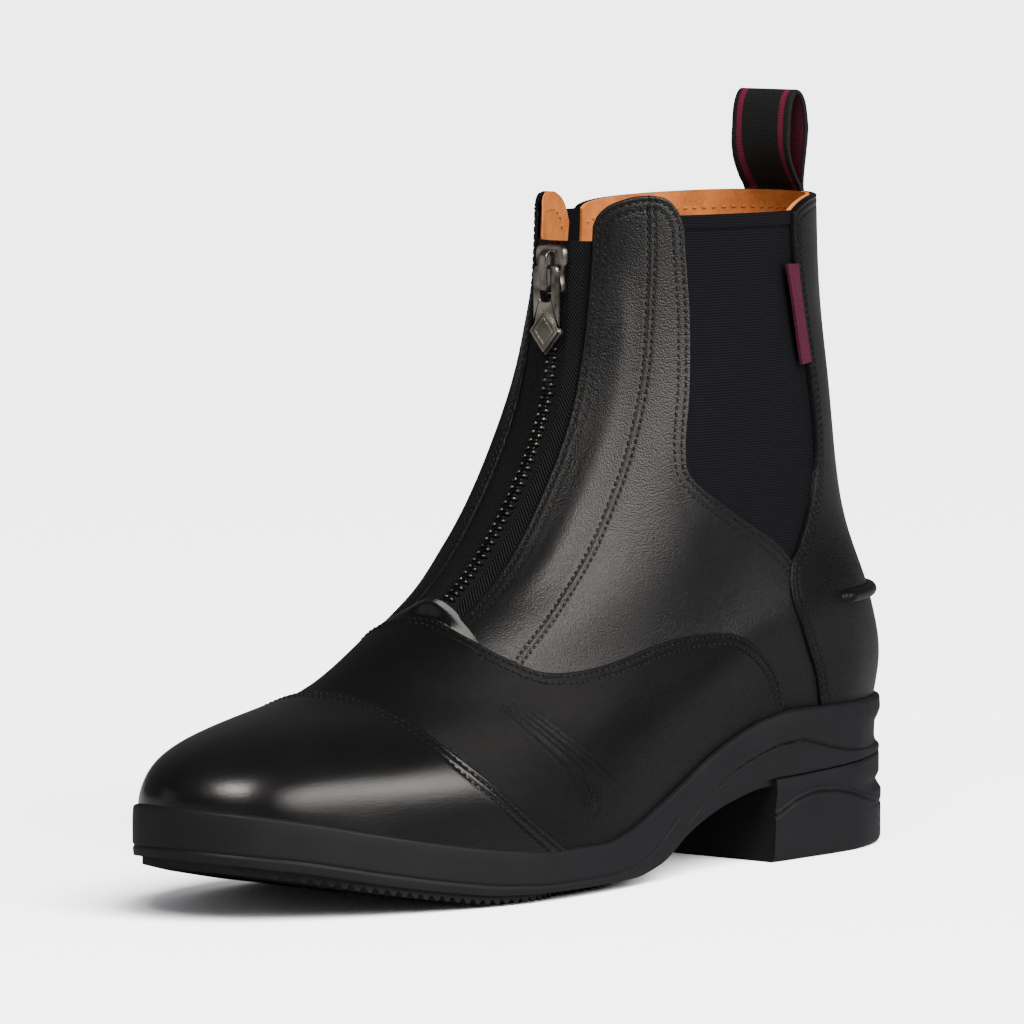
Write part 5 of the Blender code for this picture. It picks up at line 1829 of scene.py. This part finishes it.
@dataclass
class PullLoop:
    """The folded webbing loop at the back of the collar."""

    wide: float = 21.5
    thick: float = 1.4
    x: float = 2.0
    bow: float = 3.3
    bow_low: float = 190.0
    bow_high: float = 207.0
    flat_columns: int = 24
    back_at: float = 100.0
    route: tuple[Pair, ...] = (
        (113.6, 183.0), (113.2, 188.0), (112.4, 193.5), (112.0, 205.0), (110.4, 214.6), (107.0, 217.6),
        (104.4, 214.0), (103.6, 206.0), (105.4, 199.0), (109.2, 193.2), (112.4, 189.3), (113.3, 183.0),
    )

    def build(self, finishes: Finishes) -> None:
        """Carry a flat section with round selvedges along the route."""
        path = through(self.route, 14)
        along = np.gradient(path, axis=0)
        normal = unit(np.column_stack((along[:, 1], -along[:, 0])))
        run = run_along(path)
        half, thick = self.wide / 2, self.thick / 2
        across = np.linspace(-half + thick, half - thick, self.flat_columns)
        turn = np.linspace(-math.pi / 2, math.pi / 2, 7)[1:-1]
        x = np.concatenate((across, half - thick + thick * np.cos(turn), across[::-1],
                            -half + thick - thick * np.cos(turn)))
        off = np.concatenate((np.full_like(across, -thick), thick * np.sin(turn),
                              np.full_like(across, thick), -thick * np.sin(turn)))
        flat_x = np.where(off < -thick * 0.5, self.back_at + x, x)
        side = path[:, None] + normal[:, None] * off[None, :, None]
        low = np.clip((self.bow_high - path[:, 1:]) / (self.bow_high - self.bow_low), 0, 1)
        side[..., 0] -= self.bow * (2 * x / self.wide) ** 2 * low
        rings = np.concatenate((np.broadcast_to(x + self.x, side.shape[:2])[..., None], side), axis=-1)
        flat = np.stack(np.broadcast_arrays(flat_x[None], run[:, None]), axis=-1)
        add_piece("pull_loop", tube(rings, flat), finishes.webbing, stands_for=("pull_loop",))


@dataclass
class Bottom:
    """The moulded unit, the heel, the tread plate and the sock."""

    rand: Rand
    steps: int = 300
    sock_steps: int = 120
    side_rows: int = 56
    groove_deep: float = 0.9
    groove_wide: float = 0.42
    breast_y: float = 70.0
    breast_rake: float = 1.4
    rib_pitch: float = 3.4
    rib_deep: float = 1.3
    tread_inset: float = 1.9
    toe_inset: float = 1.8
    waist_inset: float = 5.0
    tread_ends: Pair = (-134.0, 8.0)
    sock_inset: float = 5.8
    rear_from: float = 108.0
    rear_to: float = 134.0
    front_end: Pair = (20.0, 9.0)
    arch_start: Pair = (22.0, 8.0)
    heel_start: Pair = (62.0, 14.0)

    def rear(self, y: Array) -> Array:
        """Share of the back view's own profile, 0 along the sides and 1 at the very back."""
        return smoothstep((y - self.rear_from) / (self.rear_to - self.rear_from))

    @staticmethod
    def shares(steps: int) -> Array:
        """Shares along the foot that crowd towards the toe and the heel."""
        return 0.5 * (1 - np.cos(np.pi * np.arange(steps + 1) / steps))

    def build(self, finishes: Finishes) -> None:
        """Make all four pieces."""
        self.build_unit(finishes)
        self.build_heel(finishes)
        self.build_tread(finishes)
        self.build_sock(finishes)

    def groove(self, z: Array, line: Array, share: Array, deep: float) -> Array:
        """A narrow groove along a line of the side."""
        return -share * deep * bell(z - line, self.groove_wide)

    def build_unit(self, finishes: Finishes) -> None:
        """The rand and its side, with a groove round the front, one over the arch and a heel seam."""
        plan, out = self.rand.loop(self.shares(self.steps))
        y = plan[:, 1]
        top, bottom = level_curve(RAND_TOP, y), level_curve(UNIT_BOTTOM, y)
        share = np.linspace(0, 1, self.side_rows)[:, None]
        z = bottom + (top - bottom) * share
        stands = -0.35 * (2 * share - 1) ** 4 + np.zeros_like(z)
        zones = (self.front_end, self.arch_start, self.heel_start)
        past_front, arch, heel = (smoothstep((y - start) / over) for start, over in zones)
        front = 1 - past_front
        rear = self.rear(y)
        stands += self.groove(z, level_curve(FRONT_GROOVE, y), front, 0.45 * self.groove_deep)
        arch_line = level_curve(ARCH_GROOVE, y)
        stands += self.groove(z, arch_line, arch * (1 - rear), self.groove_deep)
        stands -= 0.55 * arch * (1 - rear) * smoothstep((arch_line - z) / 1.2)
        stands += heel * (1 - rear) * (0.5 * bell(z - (arch_line + top) / 2, 5.0) - 0.3)
        stands += rear * level_curve(UNIT_REAR, z)
        seam = level_curve(HEEL_SEAM, y)
        stands -= heel * 1.3 * smoothstep((seam + 0.5 - z) / 1.2)
        rim = np.clip((top - z) / 1.0, 0, 1)
        stands -= 1.0 - np.sqrt(np.maximum(1 - (1 - rim) ** 2, 0))
        sides = np.concatenate((plan[None] + out[None] * stands[..., None], z[..., None]), axis=-1)
        inset = np.column_stack((plan - out * 7.0, top - 0.2))[None]
        under = np.column_stack((plan - out * 5.0, bottom))[None]
        add_piece("midsole", stacked(np.concatenate((under, sides, inset))), finishes.rubber,
                  stands_for=("midsole",), sharp=38.0)

    def build_heel(self, finishes: Finishes) -> None:
        """The heel block: straight breast, two wavy lines in its side and a round lower edge."""
        steps = np.sin(np.pi / 2 * np.linspace(0, 1, 130))
        y = self.breast_y + (self.rand.heel - self.breast_y) * steps
        outer = np.column_stack((self.rand.x(y, 1), y))
        inner = np.column_stack((self.rand.x(y, -1), y))[-2::-1]
        plan = np.concatenate((outer, inner))
        along = np.gradient(plan, axis=0)
        out = unit(np.column_stack((along[:, 1], -along[:, 0])))
        seam, wave = level_curve(HEEL_SEAM, plan[:, 1]), level_curve(HEEL_WAVE, plan[:, 1])
        share = np.linspace(0, 1, 64)[:, None]
        z = (seam - 0.1) * share
        rear = self.rear(plan[:, 1])
        lines = 0.75 * bell(z - wave, 0.42) + 0.4 * bell(z - wave - 1.5, 0.35)
        lines += 0.35 * smoothstep((z - wave - 1.2) / 0.8) - 0.35 * bell(z - (seam + wave) / 2 - 1.0, 2.6)
        stands = -0.15 - (1 - rear) * lines + rear * level_curve(HEEL_REAR, z)
        top_round = 1 - np.clip((seam - z) / 0.9, 0, 1)
        stands -= 0.8 - 0.8 * np.sqrt(np.maximum(1 - top_round**2, 0))
        low_round = 1 - np.clip(z / 2.2, 0, 1)
        stands -= 1.5 - 1.5 * np.sqrt(np.maximum(1 - low_round**2, 0))
        points = plan[None] + out[None] * stands[..., None]
        near_breast = 1 - smoothstep((plan[:, 1] - self.breast_y) / 12)
        points[..., 1] += self.breast_rake * (z / 22.0 - 0.5) * near_breast
        loops = np.concatenate((points, z[..., None]), axis=-1)
        rows, columns = loops.shape[:2]
        half = columns // 2
        i = np.arange(half)
        strip = np.column_stack((i, i + 1, columns - 2 - i, columns - 1 - i))
        tip = np.array(((half - 1, half, half + 1),))
        high = (rows - 1) * columns
        caps = [strip[:-1][:, ::-1], strip[:-1] + high, tip[:, ::-1], tip + high]
        shape = Shape(loops.reshape(-1, 3), [grid_faces(rows, columns, wrap_columns=True), *caps])
        add_piece("heel", shape.turned_out(), finishes.rubber, stands_for=("heel",),
                  sharp=38.0)

    def build_tread(self, finishes: Finishes) -> None:
        """The forefoot plate: close saw-tooth ribs across, flat on the floor under the ball."""
        start, end = self.tread_ends
        count = int((end - start) / self.rib_pitch)
        phase = np.array((0.0, 0.22, 0.55, 0.78))
        deep = np.array((1.0, 1.0, 0.0, 0.0)) * self.rib_deep
        y = (start + (np.arange(count)[:, None] + phase) * (end - start) / count).ravel()
        deep = np.tile(deep, count)
        top = level_curve(UNIT_BOTTOM, y) + 0.6
        low = np.minimum(level_curve(TREAD, y) + deep, top - 0.8)
        shares = np.linspace(0, 1, 9)
        inset = self.tread_inset + self.toe_inset * smoothstep((-95.0 - y) / 35.0)
        inset += self.waist_inset * smoothstep((y + 48.0) / 22.0)
        outer, inner = self.rand.x(y, 1) - inset, self.rand.x(y, -1) + inset
        across = outer[:, None] + (inner - outer)[:, None] * shares
        edge = 0.35 * (np.abs(2 * shares - 1) > 0.99)
        under = np.stack(np.broadcast_arrays(across, y[:, None], low[:, None] + edge), axis=-1)
        over = np.stack(np.broadcast_arrays(across[:, ::-1], y[:, None], top[:, None]), axis=-1)
        shape = tube(np.concatenate((under, over), axis=1))
        add_piece("outsole", shape, finishes.rubber, stands_for=("outsole",), sharp=30.0)

    def build_sock(self, finishes: Finishes) -> None:
        """The sock: a thin pad whose edge is rounded and whose middle is a little hollow."""
        plan, out = self.rand.loop(self.shares(self.sock_steps))
        loops = []
        for rise, more in ((0.0, 0.8), (0.9, 0.0), (2.2, 0.5), (2.9, 1.6), (3.0, 4.0), (2.6, 12.0)):
            flat = plan - out * (self.sock_inset + more)
            loops.append(np.column_stack((flat, level_curve(RAND_TOP, flat[:, 1]) + 0.3 + rise)))
        add_piece("insole", stacked(np.array(loops)), finishes.lining, stands_for=("insole",))


@dataclass(frozen=True)
class Softbox:
    """A rectangular studio light that looks at the boot, for all pieces or for some."""

    name: str
    place: Triple
    size: Pair
    power: float
    colour: Triple = (1.0, 0.95, 0.91)
    only: tuple[str, ...] = ()
    without: tuple[str, ...] = ()

    def build(self, aim: Vector) -> None:
        """Add the light, and link it to its pieces where it names some."""
        data = bpy.data.lights.new(self.name, "AREA")
        data.shape = "RECTANGLE"
        data.size, data.size_y = self.size
        data.energy = self.power
        data.color = self.colour
        lamp = put(self.name, data)
        lamp.location = self.place
        point(lamp, "-Z", aim - Vector(self.place))
        if self.only or self.without:
            lit = bpy.data.collections.new(self.name + "_lights")
            for name in self.only + self.without:
                lit.objects.link(PIECES[name])
            for member in lit.collection_objects:
                member.light_linking.link_state = "INCLUDE" if self.only else "EXCLUDE"
            lamp.light_linking.receiver_collection = lit


@dataclass(frozen=True)
class SoftSun:
    """A broad distant light, which lights the floor evenly and stays out of the polish."""

    name: str
    towards: Triple
    spread: float
    strength: float

    def build(self) -> None:
        """Add the light."""
        data = bpy.data.lights.new(self.name, "SUN")
        data.angle = math.radians(self.spread)
        data.energy = self.strength
        lamp = put(self.name, data)
        lamp.visible_glossy = False
        point(lamp, "Z", Vector(self.towards))


METAL = ("zip_slider", "zip_pull", "pull_field", "zip_teeth", "zip_tooth_heads")


@dataclass
class Studio:
    """A pale floor, soft light and the camera at the photograph's angle."""

    azimuth: float = 42.0
    elevation: float = 4.8
    distance: float = 2.5
    focus_px: float = 9359.0
    picture_px: float = 1024.0
    sensor_mm: float = 36.0
    target: Triple = (0.0536, -0.1189, 0.1098)
    aim: Triple = (0.0803, -0.0948, 0.1128)
    lit_at: Triple = (0.0, 0.0, 0.09)
    floor_half: float = 40.0
    air: str = "#F4F5F8"
    air_strength: float = 0.75
    air_mirrored: float = 0.12
    sun: SoftSun = SoftSun("key_light", (0.565, -0.1, 0.82), 45.0, 18.0)
    lights: tuple[Softbox, ...] = (
        Softbox("side_box", (1.436, 0.202, 0.716), (1.4, 0.46), 34.0, without=("vamp",)),
        Softbox("vamp_box", (1.518, 0.053, 0.525), (0.9, 0.46), 22.0, only=("vamp",)),
        Softbox("upper_box", (1.151, 0.0, 1.2), (1.0, 0.7), 66.0, only=("quarter_outer",)),
        Softbox("quarter_box", (1.438, 0.523, 0.558), (0.55, 0.45), 11.0, only=("quarter_outer",)),
        Softbox("guard_box", (-0.1, 0.12, 1.7), (0.9, 0.9), 25.0, only=("zip_guard",)),
        Softbox("rear_box", (0.727, 0.867, 1.221), (0.5, 0.5), 8.0, only=("vamp",)),
        Softbox("front_box", (0.53, -0.97, 1.02), (0.38, 0.38), 20.0),
        Softbox("toe_box", (0.53, -0.97, 1.02), (0.38, 0.38), 24.0, only=("toe_cap", *METAL)),
        Softbox("low_card", (-1.3, -1.5, 0.35), (1.6, 1.0), 3.2),
    )

    def build(self) -> None:
        """Make the floor, the light and the camera."""
        half = self.floor_half
        mesh = bpy.data.meshes.new("floor")
        corners = [(-half, -half, 0), (half, -half, 0), (half, half, 0), (-half, half, 0)]
        mesh.from_pydata(corners, [], [(0, 1, 2, 3)])
        mesh.materials.append(PaintedFloor().build())
        floor = put("floor", mesh)
        world = bpy.data.worlds.new("studio_air")
        world.use_nodes = True
        tree = world.node_tree
        glossy = add_node(tree, "LightPath", {}, "Is Glossy Ray")
        feed(tree, tree.nodes["Background"], {
            "Color": linear(self.air),
            "Strength": add_node(tree, "MapRange", {0: glossy, 3: self.air_strength, 4: self.air_mirrored}),
        })
        bpy.context.scene.world = world
        self.sun.build()
        for light in self.lights:
            light.build(Vector(self.lit_at))
        self.build_camera()

    def build_camera(self) -> None:
        """Set the camera where the photograph was taken, turned to the middle of the one boot."""
        turn, tilt = math.radians(self.azimuth), math.radians(self.elevation)
        back = Vector((math.sin(turn) * math.cos(tilt), -math.cos(turn) * math.cos(tilt), math.sin(tilt)))
        data = bpy.data.cameras.new("camera")
        data.sensor_width = self.sensor_mm
        data.lens = self.focus_px * self.sensor_mm / self.picture_px
        data.clip_start, data.clip_end = 0.05, 200.0
        camera = put("camera", data)
        camera.location = Vector(self.target) + back * self.distance
        point(camera, "-Z", Vector(self.aim) - camera.location)
        bpy.context.scene.camera = camera


def main() -> None:
    """Build the boot's pieces in order, then the studio."""
    logging.basicConfig(level=logging.INFO, format="%(message)s")
    rand = Rand.drawn()
    last = Last(rand)
    seams = Seams(last)
    finishes = Finishes()
    stitching = Stitching(last)
    inside = Stitching(last, pitch=3.0, long=1.6)
    Bottom(rand).build(finishes)
    FootLeather(last, seams).build(finishes, stitching)
    for side in Side:
        quarter = FrontPanel(last, seams, side)
        quarter.build(finishes, stitching)
        quarter.sew_lining(inside)
        Gore(last, seams, side).build(finishes)
    heel_quarter = BackPanel(last, seams)
    heel_quarter.build(finishes, stitching)
    heel_quarter.sew_lining(inside)
    Zip(last, seams).build(finishes)
    PullLoop().build(finishes)
    add_piece("stitches", joined(stitching.stitches), finishes.thread)
    add_piece("lining_stitches", joined(inside.stitches), finishes.tan_thread)
    Studio().build()


if __name__ == "__main__":
    main()
